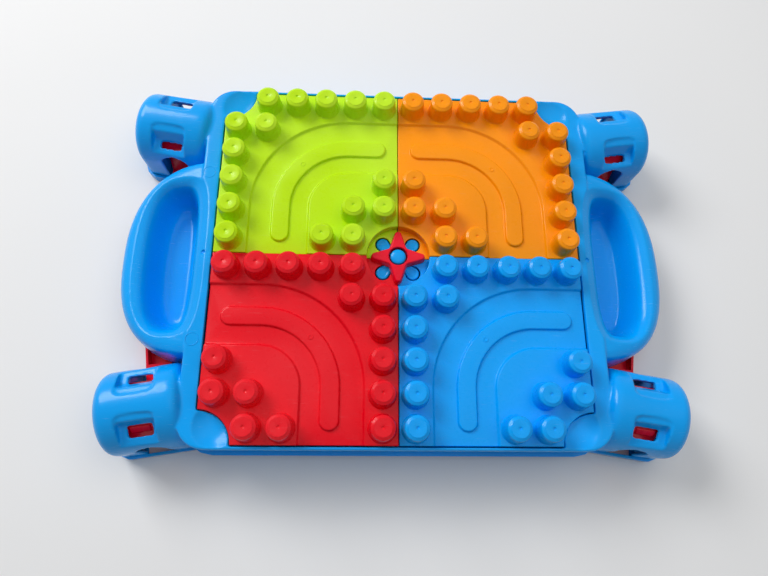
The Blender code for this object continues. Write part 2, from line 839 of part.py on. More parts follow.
def crest(drop):
    """Height of the tray rim, which falls away from the rail, less a drop."""
    def height(x):
        return DECK_Z - TRAY_FALL * max(x - CREST_X, 0.0) - drop
    return height


def level(z):
    """A constant height."""
    return lambda x: z


def recess_rings(grow, lower, steps):
    """Levels of the recess from its floor up, grown sideways and lowered for its wall."""
    rings = []
    for *insets, height in RECESS_LEVELS:
        rings.append(recess_ring(insets, grow, level(TRAY_FLOOR_Z + height - lower), steps))
    for *insets, drop in RECESS_RIM_LEVELS:
        rings.append(recess_ring(insets, grow, crest(drop + lower), steps))
    return rings


def tray_solids():
    """Outside of the tray, its recess and the hollow under its rim."""
    outside = [tray_bow(inset, level(TRAY_SKIRT_Z + height), TRAY_BACK_X)
               for inset, height in SKIRT_LEVELS]
    outside += [tray_bow(inset, crest(drop), TRAY_BACK_X) for inset, drop in CREST_LEVELS]
    back = FRAME_X + SHELL_GAP
    hollow = [tray_bow(inset + WALL, level(TRAY_SKIRT_Z + height - EPS * 2), back, 6)
              for inset, height in SKIRT_LEVELS]
    hollow += [tray_bow(inset + WALL, crest(drop + WALL), back, 6)
               for inset, drop in CREST_LEVELS[::2]]
    under = loft("tray_under", hollow)
    cut(under, loft("tray_recess_wall", recess_rings(WALL, WALL, 10)[::2]))
    return (loft("tray_outside", outside), loft("tray_recess", recess_rings(0.0, 0.0, 14)),
            settle(under, "tray_hollow"))


# Top frame

def clear_of_tub():
    """Room for the bottom shell's flange below the split line."""
    return prism("tub_room", [rounded_rectangle(TUB_X + SHELL_GAP, TUB_Y + SHELL_GAP,
                                                TUB_CORNER_R + SHELL_GAP)],
                 -EPS, FRAME_SPLIT_Z + SHELL_GAP)


def frame_block():
    """Rim and rails as one rounded block with softened top edge."""
    lower = FRAME_SPLIT_Z + SHELL_GAP
    rings = [at_height(rounded_rectangle(FRAME_X, FRAME_Y, FRAME_CORNER_R), lower),
             at_height(rounded_rectangle(FRAME_X, FRAME_Y, FRAME_CORNER_R), DECK_Z - TOP_ROUND),
             at_height(rounded_rectangle(FRAME_X - TOP_ROUND * 0.3, FRAME_Y - TOP_ROUND * 0.3,
                                         FRAME_CORNER_R), DECK_Z - TOP_ROUND * 0.3),
             at_height(rounded_rectangle(FRAME_X - TOP_ROUND, FRAME_Y - TOP_ROUND,
                                         FRAME_CORNER_R - TOP_ROUND), DECK_Z)]
    return loft("frame_block", rings)


def frame_cutters():
    """Plate well, ledge opening, tub opening and rail channel."""
    lower = FRAME_SPLIT_Z
    gusset_r = CORNER_CUT_R - WELL_CLEARANCE
    well = prism("well", [scalloped_square(WELL_HALF, gusset_r, PLATE_SPAN)],
                 SEAT_Z, DECK_Z + EPS * 4)
    tuck = prism("ledge_tuck", [rounded_rectangle(WELL_HALF, WELL_HALF, RIM_WALL)],
                 SEAT_Z, LEDGE_TOP_Z + WELL_CLEARANCE / 2)
    seat = prism("seat_opening", [rounded_rectangle(LEDGE_INNER, LEDGE_INNER, RIM_WALL)],
                 lower - EPS, SEAT_Z + EPS)
    tub = prism("tub_opening", [rounded_rectangle(TUB_WALL_X, TUB_WALL_Y - WALL, RIM_WALL)],
                lower - EPS, SEAT_Z - WALL)
    end = WELL_HALF - FRAME_CORNER_R
    channel = box("rail_channel", (WELL_HALF + SHELL_GAP, -end, lower - EPS),
                  (CHANNEL_X, end, DECK_Z - WALL))
    return [well, tuck, seat, tub, channel]


def gusset_scoop():
    """A shallow bowl in the corner gusset, deepest at the plate's scooped edge."""
    shape = bmesh.new()
    place_at = PLATE_SPAN - CORNER_CUT_R * 0.55
    bmesh.ops.create_uvsphere(shape, u_segments=12, v_segments=6, radius=SCOOP_R,
                              matrix=Matrix.Translation((place_at, place_at,
                                                         DECK_Z + SCOOP_R - SCOOP_DEPTH)))
    mesh = bpy.data.meshes.new("gusset_scoop")
    shape.to_mesh(mesh)
    shape.free()
    return new_object("gusset_scoop", mesh)


def rail_bosses():
    """Screw bosses inside the rail channel."""
    x = (WELL_HALF + CHANNEL_X) / 2
    bosses = [rod("boss", BOSS_R, FRAME_SPLIT_Z + SHELL_GAP, DECK_Z - WALL / 2, 6, (x, y))
              for y in RAIL_SCREW_YS]
    return gather("rail_bosses", bosses)


def screw_holes():
    """Blind holes for the screw shanks in the rail and barrel bosses."""
    x = (WELL_HALF + CHANNEL_X) / 2
    holes = [rod("hole", SCREW_R + SHELL_GAP, FRAME_SPLIT_Z - EPS,
                 FRAME_SPLIT_Z + SCREW_LENGTH, 6, (x, y)) for y in RAIL_SCREW_YS]
    return gather("screw_holes", holes)


def build_top_frame(material):
    """Upper moulding: rim, rails, trays and barrels; one quarter is cut, then mirrored."""
    frame = frame_block()
    outside, recess, hollow = tray_solids()
    barrel = place(barrel_solid(), hinge_matrix(1, 1))
    fuse(frame, outside, barrel)
    cut(frame, recess, hollow, *frame_cutters())
    fuse(frame, rail_bosses())
    cut(frame, *[place(cutter, hinge_matrix(1, 1)) for cutter in barrel_cutters()])
    cut(frame, gusset_scoop(), clear_of_tub(), screw_holes())
    mirror = frame.modifiers.new("quarters", "MIRROR")
    mirror.use_axis = (True, True, False)
    mirror.use_bisect_axis = (True, True, False)
    mirror.merge_threshold = 0.00005
    return shade(settle(frame, "top_frame", "block_table", material), 30.0)


# Bottom shell

def bottom_band():
    """Rim band under one barrel, open towards the middle for the folded leg."""
    top = HOOD_BOTTOM_Z - SHELL_GAP - HINGE_Z
    band = prism("band", [foot_outline(BAND_RISE, BARREL_INNER)], BAND_LIFT - HINGE_Z, top)
    inner = prism("band_inner", [foot_outline(BAND_RISE - BAND_WALL, BARREL_INNER - WALL)],
                  TUB_FLOOR - HINGE_Z, top + EPS)
    slot = box("leg_way", (-CHAMBER_HALF, -FAR / 4, -FAR),
               (CHAMBER_HALF, LEG_OUTER + SHELL_GAP * 2, FAR))
    cut(band, inner, slot)
    return place(settle(band, "bottom_band"), hinge_matrix(1, 1))


def centre_post():
    """Hollow column that carries the plates' inner corners, the knob and the lobes."""
    post = rod("post", POST_R, TUB_FLOOR_Z + TUB_FLOOR / 2, POST_SEAT_Z, 16)
    lobes = []
    for i in range(4):
        lobe = prism("lobe", [lobe_outline(LOBE_R)], SEAT_Z - WALL * 3, LEDGE_TOP_Z - WALL / 3)
        place(lobe, Matrix.Rotation(math.radians(45 + 90 * i), 4, "Z"))
        lobes.append(lobe)
    fuse(post, *lobes)
    return settle(post, "centre_post")


def post_cutters():
    """Knob socket, spindle bore, screw way and the cavity that opens through the tub floor."""
    return [rod("knob_socket", KNOB_STUB_R + KNOB_GAP, SOCKET_Z, DECK_Z, 16),
            rod("spindle_bore", SPINDLE_R + KNOB_GAP / 2, SPINDLE_FOOT_Z - KNOB_GAP, DECK_Z, 12),
            rod("post_cavity", POST_R - POST_WALL, -EPS, POST_WEB_Z, 12),
            rod("screw_way", SCREW_R + SHELL_GAP, POST_WEB_Z - WALL, DECK_Z, 6)]


def side_hollow_outline():
    """Space between the tub's end wall and the shell's outer wall, round the corner."""
    inset = TUB_DRAFT + WALL
    radius = TUB_CORNER_R - inset
    centre = (TUB_X - TUB_CORNER_R, TUB_Y - TUB_CORNER_R)
    stop = math.degrees(math.acos((TUB_WALL_X - centre[0]) / radius))
    return ([(TUB_WALL_X, -WELL_HALF / 2), (TUB_X - inset, -WELL_HALF / 2)]
            + arc(centre, radius, 0, stop, 4))


def build_bottom_shell(material):
    """Storage tub with its outer flange, the four rim bands and the centre post."""
    low = TUB_DRAFT
    outer = [at_height(rounded_rectangle(TUB_X - low, TUB_Y - low, TUB_CORNER_R - low), 0.0),
             at_height(rounded_rectangle(TUB_X - low * 0.4, TUB_Y - low * 0.4,
                                         TUB_CORNER_R - low * 0.4), WALL * 1.4),
             at_height(rounded_rectangle(TUB_X, TUB_Y, TUB_CORNER_R), FRAME_SPLIT_Z)]
    shell = loft("tub", outer)
    inside = loft("tub_inside", [
        at_height(rounded_rectangle(TUB_WALL_X - WALL, TUB_WALL_Y - WALL / 2, TUB_INSIDE_R),
                  TUB_FLOOR_Z + TUB_FLOOR),
        at_height(rounded_rectangle(TUB_WALL_X - WALL, TUB_WALL_Y, TUB_INSIDE_R),
                  FRAME_SPLIT_Z + EPS)])
    under = prism("foot_recess", [rounded_rectangle(TUB_WALL_X - FOOT_RIM, TUB_WALL_Y - FOOT_RIM,
                                                    TUB_INSIDE_R)], -EPS, TUB_FLOOR_Z)
    sides = prism("side_hollow", [side_hollow_outline()], -EPS, FRAME_SPLIT_Z - WALL)
    x = (WELL_HALF + CHANNEL_X) / 2
    holes = gather("flange_holes", [rod("flange_hole", SCREW_R + SHELL_GAP, 0.0,
                                        FRAME_SPLIT_Z + EPS, 6, (x, y))
                                    for y in RAIL_SCREW_YS])
    fuse(shell, bottom_band())
    cut(shell, inside, under, sides, holes)
    mirror = shell.modifiers.new("quarters", "MIRROR")
    mirror.use_axis = (True, True, False)
    mirror.use_bisect_axis = (True, True, False)
    mirror.merge_threshold = 0.00005
    tub = settle(shell, "tub_mirrored")
    fuse(tub, centre_post())
    cut(tub, *post_cutters())
    return shade(settle(tub, "bottom_shell", "block_table", material), 30.0)


# Centre lock

def star_outline():
    """Four tapering arms with concave flanks, each flank an arc through waist and arm tips."""
    tip = KNOB_TIP - KNOB_TIP_HALF
    corner = tip ** 2 + KNOB_TIP_HALF ** 2
    away = (corner - KNOB_WAIST ** 2) / (math.sqrt(2) * (tip + KNOB_TIP_HALF) - 2 * KNOB_WAIST)
    centre = Vector((away, away)) / math.sqrt(2)
    lean = math.degrees(math.atan2(tip - centre.x, centre.y - KNOB_TIP_HALF))
    points = []
    for turn in range(4):
        spin = Matrix.Rotation(math.radians(90 * turn), 2)
        arm = arc((tip, 0.0), KNOB_TIP_HALF, -80, 80, 3)
        flank = arc(centre, away - KNOB_WAIST, 270 + lean, 180 - lean, 5)[1:-1]
        points += [tuple(spin @ Vector(point)) for point in arm + flank]
    return points


def build_lock(red, blue, metal):
    """The star knob, the spindle that holds it and the screw that holds the spindle."""
    outline = star_outline()
    top = [(x * 0.94, y * 0.94) for x, y in outline]
    star = loft("star", [at_height(outline, KNOB_BASE_Z),
                         at_height(outline, KNOB_TOP_Z - KNOB_THICK * 0.2),
                         at_height(top, KNOB_TOP_Z)])
    fuse(star, rod("stub", KNOB_STUB_R, STUB_BASE_Z, KNOB_BASE_Z + EPS * 2, 16))
    cut(star, rod("knob_hole", KNOB_HOLE_R, STUB_BASE_Z + KNOB_LIP, DECK_Z + KNOB_TOP_Z, 12),
        rod("lip_hole", SPINDLE_R + KNOB_GAP, 0.0, DECK_Z, 12))
    shade(settle(star, "lock_knob", "block_table", red))

    head_z = STUB_BASE_Z + KNOB_LIP + KNOB_GAP
    dome_z = KNOB_TOP_Z - EPS
    foot_z = SPINDLE_FOOT_Z
    cap = turned("spindle", [
        (0.0, dome_z), (SPINDLE_HEAD_R * 0.6, dome_z - 0.0006),
        (SPINDLE_HEAD_R, dome_z - 0.0022), (SPINDLE_HEAD_R, head_z), (SPINDLE_R, head_z),
        (SPINDLE_R, foot_z), (0.0, foot_z)], 12)
    cut(cap, rod("spindle_pilot", SCREW_R + SHELL_GAP, 0.0, foot_z + SCREW_LENGTH, 6))
    shade(settle(cap, "knob_spindle", "block_table", blue))

    screw = turned("lock_screw_body",
                   screw_profile(POST_WEB_Z - SHELL_GAP, foot_z + SCREW_LENGTH * 0.8), 6)
    shade(settle(screw, "lock_screw", "block_table", metal))


def screw_profile(seat, tip):
    """Pan head screw pointing up: its head lies under the seat height and its tip is above."""
    return [(0.0, tip), (SCREW_R, tip - SCREW_R), (SCREW_R, seat), (SCREW_HEAD_R, seat),
            (SCREW_HEAD_R * 0.8, seat - SCREW_HEAD), (0.0, seat - SCREW_HEAD)]


def build_shell_screws(metal):
    """Eight screws that join the two shells through the end rails."""
    x = (WELL_HALF + CHANNEL_X) / 2
    seat = FRAME_SPLIT_Z - WALL - SHELL_GAP
    tip = FRAME_SPLIT_Z + SCREW_LENGTH - EPS * 2
    master = turned("shell_screw", screw_profile(seat, tip), 6)
    for sx, side in ((1, "right"), (-1, "left")):
        for number, y in enumerate([sy * y for sy in (1, -1) for y in RAIL_SCREW_YS], 1):
            screw = new_object("shell_screw_%s_%d" % (side, number), master.data.copy(),
                               "block_table", metal)
            screw.location = (sx * x, y, 0.0)
            shade(screw)
    bpy.data.objects.remove(master, do_unlink=True)


# Legs

def leg_mesh():
    """Folded leg in its hinge frame: hub, root, channel shaft with ribs and widened foot."""
    shaft_top = -LEG_OUTER + LEG_THICK
    hub = place(rod("leg_hub", HUB_R, -HUB_HALF, HUB_HALF, 16), LAY_X)
    root = prism("leg_root", [[(0.0, -LEG_OUTER), (0.0, -HUB_R * 0.5), (-HUB_R * 0.96, -HUB_R * 0.25),
                               (-HUB_R * 1.15, shaft_top), (-HUB_R * 1.6, shaft_top),
                               (-HUB_R * 1.6, -LEG_OUTER)]], -LEG_HALF, LEG_HALF)
    place(root, Matrix(((0, 0, 1, 0), (1, 0, 0, 0), (0, 1, 0, 0), (0, 0, 0, 1))))
    shaft = box("leg_shaft", (-LEG_HALF, -LEG_LENGTH, -LEG_OUTER), (LEG_HALF, -EPS, shaft_top))
    foot = prism("leg_foot", [rounded_rectangle(FOOT_HALF, FOOT_LENGTH / 2, 0.006, 3)],
                 -LEG_OUTER, shaft_top)
    place(foot, Matrix.Translation((0.0, -LEG_LENGTH + FOOT_LENGTH / 2, 0.0)))
    fuse(hub, root, shaft, foot)
    channel_end = -LEG_LENGTH + FOOT_LENGTH
    channel_start = -HUB_R * 1.7
    bay = (channel_start - channel_end) / 3
    bays = []
    for i in range(3):
        high = channel_start - bay * i
        bays.append(box("bay", (-LEG_HALF + LEG_WALL, high - bay + LEG_WALL / 2,
                                -LEG_OUTER + LEG_WALL),
                        (LEG_HALF - LEG_WALL, high - LEG_WALL / 2, shaft_top + EPS)))
    cut(hub, gather("leg_bays", bays))
    cut(hub, place(rod("hub_bore", HUB_BORE_FACETED_R, -HUB_HALF * 2, HUB_HALF * 2, BORE_FACETS),
                   LAY_X))
    cut(hub, button_slot())
    leg = settle(hub, "leg_master")
    refill_flats(leg.data)
    return leg


def button_slot():
    """Pocket in the hub that guides the latch button."""
    half_x = BUTTON_LENGTH / 2 + BUTTON_GAP
    half_y = BUTTON_HEIGHT / 2 + BUTTON_GAP
    face = POCKET_FLOOR_R - WALL - BUTTON_FACE_GAP
    floor = face - BUTTON_DEPTH - BUTTON_TRAVEL - BUTTON_GAP
    slot = box("button_slot", (WINDOW_CENTRE - half_x, -half_y, floor),
               (WINDOW_CENTRE + half_x, half_y, HUB_R + WALL))
    return place(slot, Matrix.Rotation(math.radians(-45), 4, "X"))


def button_mesh():
    """Latch button with a softened face, behind the outer window when the leg is folded."""
    face = POCKET_FLOOR_R - WALL - BUTTON_FACE_GAP
    half_x = BUTTON_LENGTH / 2
    half_y = BUTTON_HEIGHT / 2
    low = [(-half_x, -half_y), (half_x, -half_y), (half_x, half_y), (-half_x, half_y)]
    top = [(x - math.copysign(0.001, x), y - math.copysign(0.001, y)) for x, y in low]
    body = loft("button", [at_height(low, face - BUTTON_DEPTH), at_height(low, face - 0.001),
                           at_height(top, face)])
    place(body, Matrix.Translation((WINDOW_CENTRE, 0.0, 0.0)))
    place(body, Matrix.Rotation(math.radians(-45), 4, "X"))
    return body


def build_legs(red, metal):
    """Four legs with their pins and latch buttons, each parented to an empty on its hinge."""
    leg_master = leg_mesh()
    button_master = button_mesh()
    for sx, sy in ((-1, -1), (1, -1), (-1, 1), (1, 1)):
        corner = ("far" if sy > 0 else "near") + "_" + ("right" if sx > 0 else "left")
        hinge = bpy.data.objects.new("hinge_" + corner, None)
        COLLECTIONS["block_table"].objects.link(hinge)
        hinge.matrix_world = hinge_matrix(sx, sy)
        side = 1.0 if sx * sy > 0 else -1.0
        mirror = Matrix.Diagonal((side, 1.0, 1.0, 1.0))
        leg = new_object("leg_" + corner, leg_master.data.copy(), "block_table", red)
        button = new_object("latch_button_" + corner, button_master.data.copy(), "block_table", red)
        pin_solid = turned("pin_solid", [
            (0.0, PIN_END), (PIN_R * 0.8, PIN_END), (PIN_R, PIN_END - PIN_R * 0.2),
            (PIN_R, -PIN_END + PIN_R * 0.2), (PIN_R * 0.8, -PIN_END), (0.0, -PIN_END)], 8)
        place(pin_solid, LAY_X)
        pin = settle(pin_solid, "hinge_pin_" + corner, "block_table", metal)
        for piece in (leg, button):
            place(piece, mirror)
        for piece in (leg, button, pin):
            shade(piece)
            piece.parent = hinge
    for master in (leg_master, button_master):
        bpy.data.objects.remove(master, do_unlink=True)


def main():
    """Build every piece of the table."""
    blue = plastic("blue_plastic", BLUE, 0.28)
    red = plastic("red_plastic", RED, 0.28)
    metal = steel("plated_steel")
    plate_materials = {"lime_plate": plastic("lime_plastic", LIME, 0.30),
                       "orange_plate": plastic("orange_plastic", ORANGE, 0.30),
                       "red_plate": plastic("red_plate_plastic", RED, 0.30),
                       "blue_plate": plastic("blue_plate_plastic", BLUE, 0.30)}
    build_plates(plate_materials)
    build_top_frame(blue)
    build_bottom_shell(blue)
    build_lock(red, blue, metal)
    build_shell_screws(metal)
    build_legs(red, metal)


main()
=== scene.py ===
"""Building block table: the looks of a folding play table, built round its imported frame."""

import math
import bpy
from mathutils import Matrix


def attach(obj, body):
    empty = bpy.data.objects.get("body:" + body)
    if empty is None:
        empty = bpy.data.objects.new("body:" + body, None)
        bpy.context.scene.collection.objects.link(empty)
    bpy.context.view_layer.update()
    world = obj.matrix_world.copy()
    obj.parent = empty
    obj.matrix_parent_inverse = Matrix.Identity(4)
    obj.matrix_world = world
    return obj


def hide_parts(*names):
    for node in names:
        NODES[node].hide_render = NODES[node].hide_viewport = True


bl_info = {
    "name": "Building block table",
    "version": (1, 0, 0),
    "blender": (4, 5, 0),
    "location": "View3D > Sidebar > Block table",
    "description": "Builds a folding play table with stud plates, its materials and a plain stage",
    "category": "Object",
}

import bmesh
import bpy
from bpy.props import FloatProperty, FloatVectorProperty, IntProperty, PointerProperty
from mathutils import Matrix, Vector
from mathutils.kdtree import KDTree

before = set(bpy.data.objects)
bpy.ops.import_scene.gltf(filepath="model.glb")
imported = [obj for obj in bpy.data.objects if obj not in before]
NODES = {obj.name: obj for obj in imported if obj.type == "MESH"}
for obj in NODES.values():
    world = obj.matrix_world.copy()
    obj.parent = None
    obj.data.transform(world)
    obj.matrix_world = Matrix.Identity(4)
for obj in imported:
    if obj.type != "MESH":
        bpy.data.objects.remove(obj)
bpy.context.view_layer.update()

# Lengths are in metres. X runs to the right, Y away from the camera, Z up, and the floor is at 0.

# Stud plates. The road and ridge offsets are from the plate's edge.
PITCH = 0.032
PLATE_SPAN = 0.192
PLATE_DEPTH = 0.014
PLATE_GAP = 0.0003
PLATE_WALL = 0.0025
PLATE_ROOF = 0.0055
CORNER_CUT_R = 0.033
LOCK_LEDGE_FOOT = -0.0135
LOCK_LEDGE_TOP = -0.010
STUD_HEIGHT = 0.020
STUD_FLAT_R = 0.0088
ROAD_BEND_IN = 0.054
ROAD_NEAR = 0.033
ROAD_FAR = 0.097
ROAD_SUNK = 0.003
RIDGE_NEAR = 0.05775
RIDGE_FAR = 0.07625
RIDGE_LINE = 0.067
RIDGE_END_IN = 0.014

# Rails and plate well of the top frame
DECK_Z = 0.076
FRAME_X = 0.211
FRAME_Y = 0.196
FRAME_CORNER_R = 0.028
FRAME_EDGE_R = 0.0022
FRAME_SPLIT_Z = 0.034
SPLIT_GAP = 0.0003
WELL_HALF = 0.193
TUCK_DROP = 0.0095
SEAT_Z = 0.0617
LEDGE_INNER = 0.186
TUB_HALF = 0.190
WELL_FOOT_Z = 0.02
CHANNEL_X = 0.2005
CHANNEL_HALF = 0.165
CHANNEL_DROP = 0.0045
SHELL_ROOM_X = 0.2148
SHELL_ROOM_Y = 0.2008
SHELL_ROOM_CORNER_R = 0.0318
BOWL_R = 0.040
BOWL_DEPTH = 0.0065
BOWL_SHARE = 0.55
DIMPLE_X = 0.2022
QUARTER_SPARE = 0.012

# Trays. The rim falls outwards from its crest by TRAY_FALL for each metre. A larger power
# makes the recess squarer, and a smaller one the bow.
TRAY_ROOT_X = 0.200
TRAY_REACH = 0.097
TRAY_HALF = 0.110
TRAY_FALL = 0.275
TRAY_WALL = 0.003
TRAY_FLOOR_Z = 0.0215
TRAY_BOW_POWER = 0.8
RECESS_MIDDLE = 0.42
RECESS_FRONT_POWER = 2.6
RECESS_BACK_POWER = 3.8
CREST_X = FRAME_X - 0.0025
CREST_SOFTNESS = 0.006
TRAY_BACK_X = CREST_X - 0.0025

# Corner barrels. Hinge and splay place the far right one; the rest is in its own frame, with X
# along the pin, Y across it and Z up from it.
HINGE = (0.245, 0.15615, 0.042)
SPLAY = math.radians(9.0)
BARREL_R = 0.041
BARREL_FOOT = -0.030
BARREL_STRAIGHT = 0.0315
BARREL_DOME = 0.0170
BARREL_DOME_POWER = 2.7
NECK_R = 0.033
NECK_FOOT = -0.0295
NECK_ENDS = (-0.052, -0.033)
CHAMBER_R = 0.038
CHAMBER_HALF = 0.0183
CHAMBER_WEB = 0.003
CHAMBER_FLAT_R = 0.0300
OUTER_ROOM_R = 0.0365
INNER_ROOM_R = 0.030
INNER_ROOM_END = -0.030
TOOL_FOOT = -0.08
LEG_SLOT_HALF = 0.015
LEG_SLOT_SPRING = 0.004
LEG_SLOT_RISE = 0.010
LEG_SLOT_REACH = 0.045
POCKET_CORNER_R = 0.0329
POCKET_ENDS = (-0.0130, 0.0224)
POCKET_SLOT_ENDS = (-0.0088, 0.0148)
POCKET_WALL_DEG = 69.0
POCKET_SHELF_DEG = 20.0
OUTER_POCKET_DEG = 60.0
INNER_POCKET_DEG = 45.0
BROW_SPARE = 0.0010
BROW_FOOT = 0.010
BROW_SUNK = 0.0014

# Centre lock
LOBE_REACH = 0.0225
LOBE_R = 0.0068
LOBE_TOP_Z = 0.0650
LOBE_CLEARANCE = 0.0014
KNOB_BASE_Z = 0.0663
KNOB_TOP_Z = 0.0753
KNOB_STUB_Z = 0.0603
KNOB_STUB_R = 0.012
KNOB_LIP_Z = KNOB_STUB_Z + 0.003
KNOB_TIP = 0.0244
KNOB_TIP_R = 0.0035
KNOB_WAIST = 0.0128
KNOB_WAIST_R = 0.0040
KNOB_HOLE_R = 0.0098
KNOB_BORE_R = 0.0046
LOCK_LEDGE_R = 0.0128
SPINDLE_R = 0.0042
SPINDLE_FOOT_Z = 0.0467
SPINDLE_HEAD_R = 0.0081
SPINDLE_HEAD_Z = KNOB_STUB_Z + 0.0034
SPINDLE_CROWN_Z = KNOB_TOP_Z - 0.0028

# Plain rings on the left rail
MARK_R = 0.0064
MARK_WIRE_R = 0.0004
MARK_SUNK = 0.0001
MARK_PLACES = ((-0.2035, 0.0915), (-0.2035, -0.0915))

# Stage. The floor's shading fades to its plain colour between two distances.
FLOOR_SPAN = 12.0
FLOOR_GAP = 0.0002
FLOOR_FADE = (0.9, 3.0)
ROOM_COLOUR = (0.97, 0.985, 1.0)
WINDOW_PLACE = (-1.7, 1.5, 1.9)
WINDOW_SIZE = (1.5, 1.2)
ROOM_PLACE = (0.5, 0.3, 2.0)
ROOM_SIZE = (2.0, 2.0)
CAMERA_PLACE = (-0.0417, -0.2049, 0.6242)
CAMERA_TURN_DEG = (17.12395788, -2.87071485, 0.22562913)
CAMERA_LENS = 26.25
CAMERA_SENSOR = 36.0


# Modelling helpers

def clear_selection():
    """Leave edit mode and select nothing."""
    if bpy.context.mode != "OBJECT":
        bpy.ops.object.mode_set(mode="OBJECT")
    bpy.ops.object.select_all(action="DESELECT")


def activate(obj):
    """Make one object the only selected and active one."""
    clear_selection()
    obj.select_set(True)
    bpy.context.view_layer.objects.active = obj
    return obj


def finish_modifier(obj, kind, **settings):
    """Add a modifier with its settings and apply it."""
    activate(obj)
    modifier = obj.modifiers.new(kind.title(), kind)
    for name, value in settings.items():
        setattr(modifier, name, value)
    bpy.ops.object.modifier_apply(modifier=modifier.name)
    return obj


def boolean(target, tool, operation="DIFFERENCE"):
    """Cut or join a tool shape and remove it."""
    finish_modifier(target, "BOOLEAN", operation=operation, object=tool, solver="EXACT")
    bpy.data.objects.remove(tool, do_unlink=True)
    return target


def face_outwards(obj):
    """Recalculate the normals of a closed shape."""
    activate(obj)
    bpy.ops.object.mode_set(mode="EDIT")
    bpy.ops.mesh.select_all(action="SELECT")
    bpy.ops.mesh.normals_make_consistent(inside=False)
    bpy.ops.object.mode_set(mode="OBJECT")
    return obj


def stack_rings(name, rings):
    """Extrude a filled ring through further rings of equally many points."""
    clear_selection()
    bpy.ops.mesh.primitive_circle_add(vertices=len(rings[0]), radius=1.0, fill_type="NGON")
    obj = bpy.context.object
    obj.name = name
    bpy.ops.object.mode_set(mode="EDIT")
    shape = bmesh.from_edit_mesh(obj.data)
    shape.verts.ensure_lookup_table()
    for vert, point in zip(shape.verts, rings[0]):
        vert.co = point
    bmesh.update_edit_mesh(obj.data)
    for lower, upper in zip(rings, rings[1:]):
        # Extruding may renumber the points, so each is found by its place in the ring below.
        bpy.ops.mesh.extrude_region_move()
        shape = bmesh.from_edit_mesh(obj.data)
        below = KDTree(len(lower))
        for i, point in enumerate(lower):
            below.insert(point, i)
        below.balance()
        for vert in [v for v in shape.verts if v.select]:
            vert.co = upper[below.find(vert.co)[1]]
        bmesh.update_edit_mesh(obj.data)
    return face_outwards(obj)


def prism(name, outline, low, high):
    """A flat outline extruded between two heights."""
    return stack_rings(name, [[(x, y, z) for x, y in outline] for z in (low, high)])


def block(name, low, high):
    """A box between two corners."""
    clear_selection()
    bpy.ops.mesh.primitive_cube_add(size=1.0)
    obj = bpy.context.object
    obj.name = name
    size = Vector(high) - Vector(low)
    centre = (Vector(high) + Vector(low)) / 2
    obj.data.transform(Matrix.Translation(centre) @ Matrix.Diagonal((*size, 1.0)))
    return obj


def disc_stack(name, profile, sides, centre=(0.0, 0.0)):
    """A turned solid from (radius, height) pairs."""
    turns = [2 * math.pi * i / sides for i in range(sides)]
    return stack_rings(name, [[(centre[0] + r * math.cos(a), centre[1] + r * math.sin(a), z)
                               for a in turns] for r, z in profile])


def place(obj, matrix):
    """Bake a placement into a mesh, keeping its faces outwards."""
    obj.data.transform(matrix)
    if matrix.determinant() < 0:
        obj.data.flip_normals()
    return obj


def smooth(obj, angle_deg):
    """Smooth shading with sharp edges kept above an angle."""
    activate(obj)
    bpy.ops.object.shade_smooth_by_angle(angle=math.radians(angle_deg))
    return obj


def copy_piece(obj, name):
    """A copy with its own mesh."""
    twin = obj.copy()
    twin.data = obj.data.copy()
    twin.name = name
    bpy.context.scene.collection.objects.link(twin)
    return twin


def arc(centre, radius, start_deg, end_deg, steps):
    """Points along an arc, both ends included."""
    points = []
    for i in range(steps + 1):
        angle = math.radians(start_deg + (end_deg - start_deg) * i / steps)
        points.append((centre[0] + radius * math.cos(angle), centre[1] + radius * math.sin(angle)))
    return points


def rounded_rectangle(half_x, half_y, radius, steps=10):
    """A rectangle outline with round corners, anticlockwise."""
    points = []
    for corner, (sx, sy) in enumerate(((1, 1), (-1, 1), (-1, -1), (1, -1))):
        centre = (sx * (half_x - radius), sy * (half_y - radius))
        points += arc(centre, radius, 90 * corner, 90 * corner + 90, steps)
    return points


def round_over(radius, steps):
    """Inset and drop of a quarter-round edge, from its foot to its top."""
    pairs = []
    for i in range(steps + 1):
        angle = math.pi / 2 * i / steps
        pairs.append((radius * (1 - math.cos(angle)), radius * (1 - math.sin(angle))))
    return pairs


def between(levels, steps):
    """Smooth values through a list of equally long tuples, as a Catmull-Rom curve."""
    result = []
    last = len(levels) - 1
    for i in range(last * steps + 1):
        span = min(i // steps, last - 1)
        t = i / steps - span
        values = []
        for k in range(len(levels[0])):
            p1, p2 = levels[span][k], levels[span + 1][k]
            m1 = (p2 - levels[max(span - 1, 0)][k]) / 2
            m2 = (levels[min(span + 2, last)][k] - p1) / 2
            values.append(p1 + t * (m1 + t * (3 * (p2 - p1) - 2 * m1 - m2
                                              + t * (2 * (p1 - p2) + m1 + m2))))
        result.append(tuple(values))
    return result


# Material helpers

def new_group(name, inputs, outputs):
    """An empty shader group with named float or colour sockets."""
    tree = bpy.data.node_groups.new(name, "ShaderNodeTree")
    for socket, kind, value in inputs:
        item = tree.interface.new_socket(socket, in_out="INPUT", socket_type=kind)
        item.default_value = value
    for socket, kind in outputs:
        tree.interface.new_socket(socket, in_out="OUTPUT", socket_type=kind)
    return tree, tree.nodes.new("NodeGroupInput"), tree.nodes.new("NodeGroupOutput")


def noise(tree, scale, detail, vector=None, roughness=0.5):
    """A noise texture at a scale per metre."""
    node = tree.nodes.new("ShaderNodeTexNoise")
    node.inputs["Scale"].default_value = scale
    node.inputs["Detail"].default_value = detail
    node.inputs["Roughness"].default_value = roughness
    if vector is not None:
        tree.links.new(vector, node.inputs["Vector"])
    return node


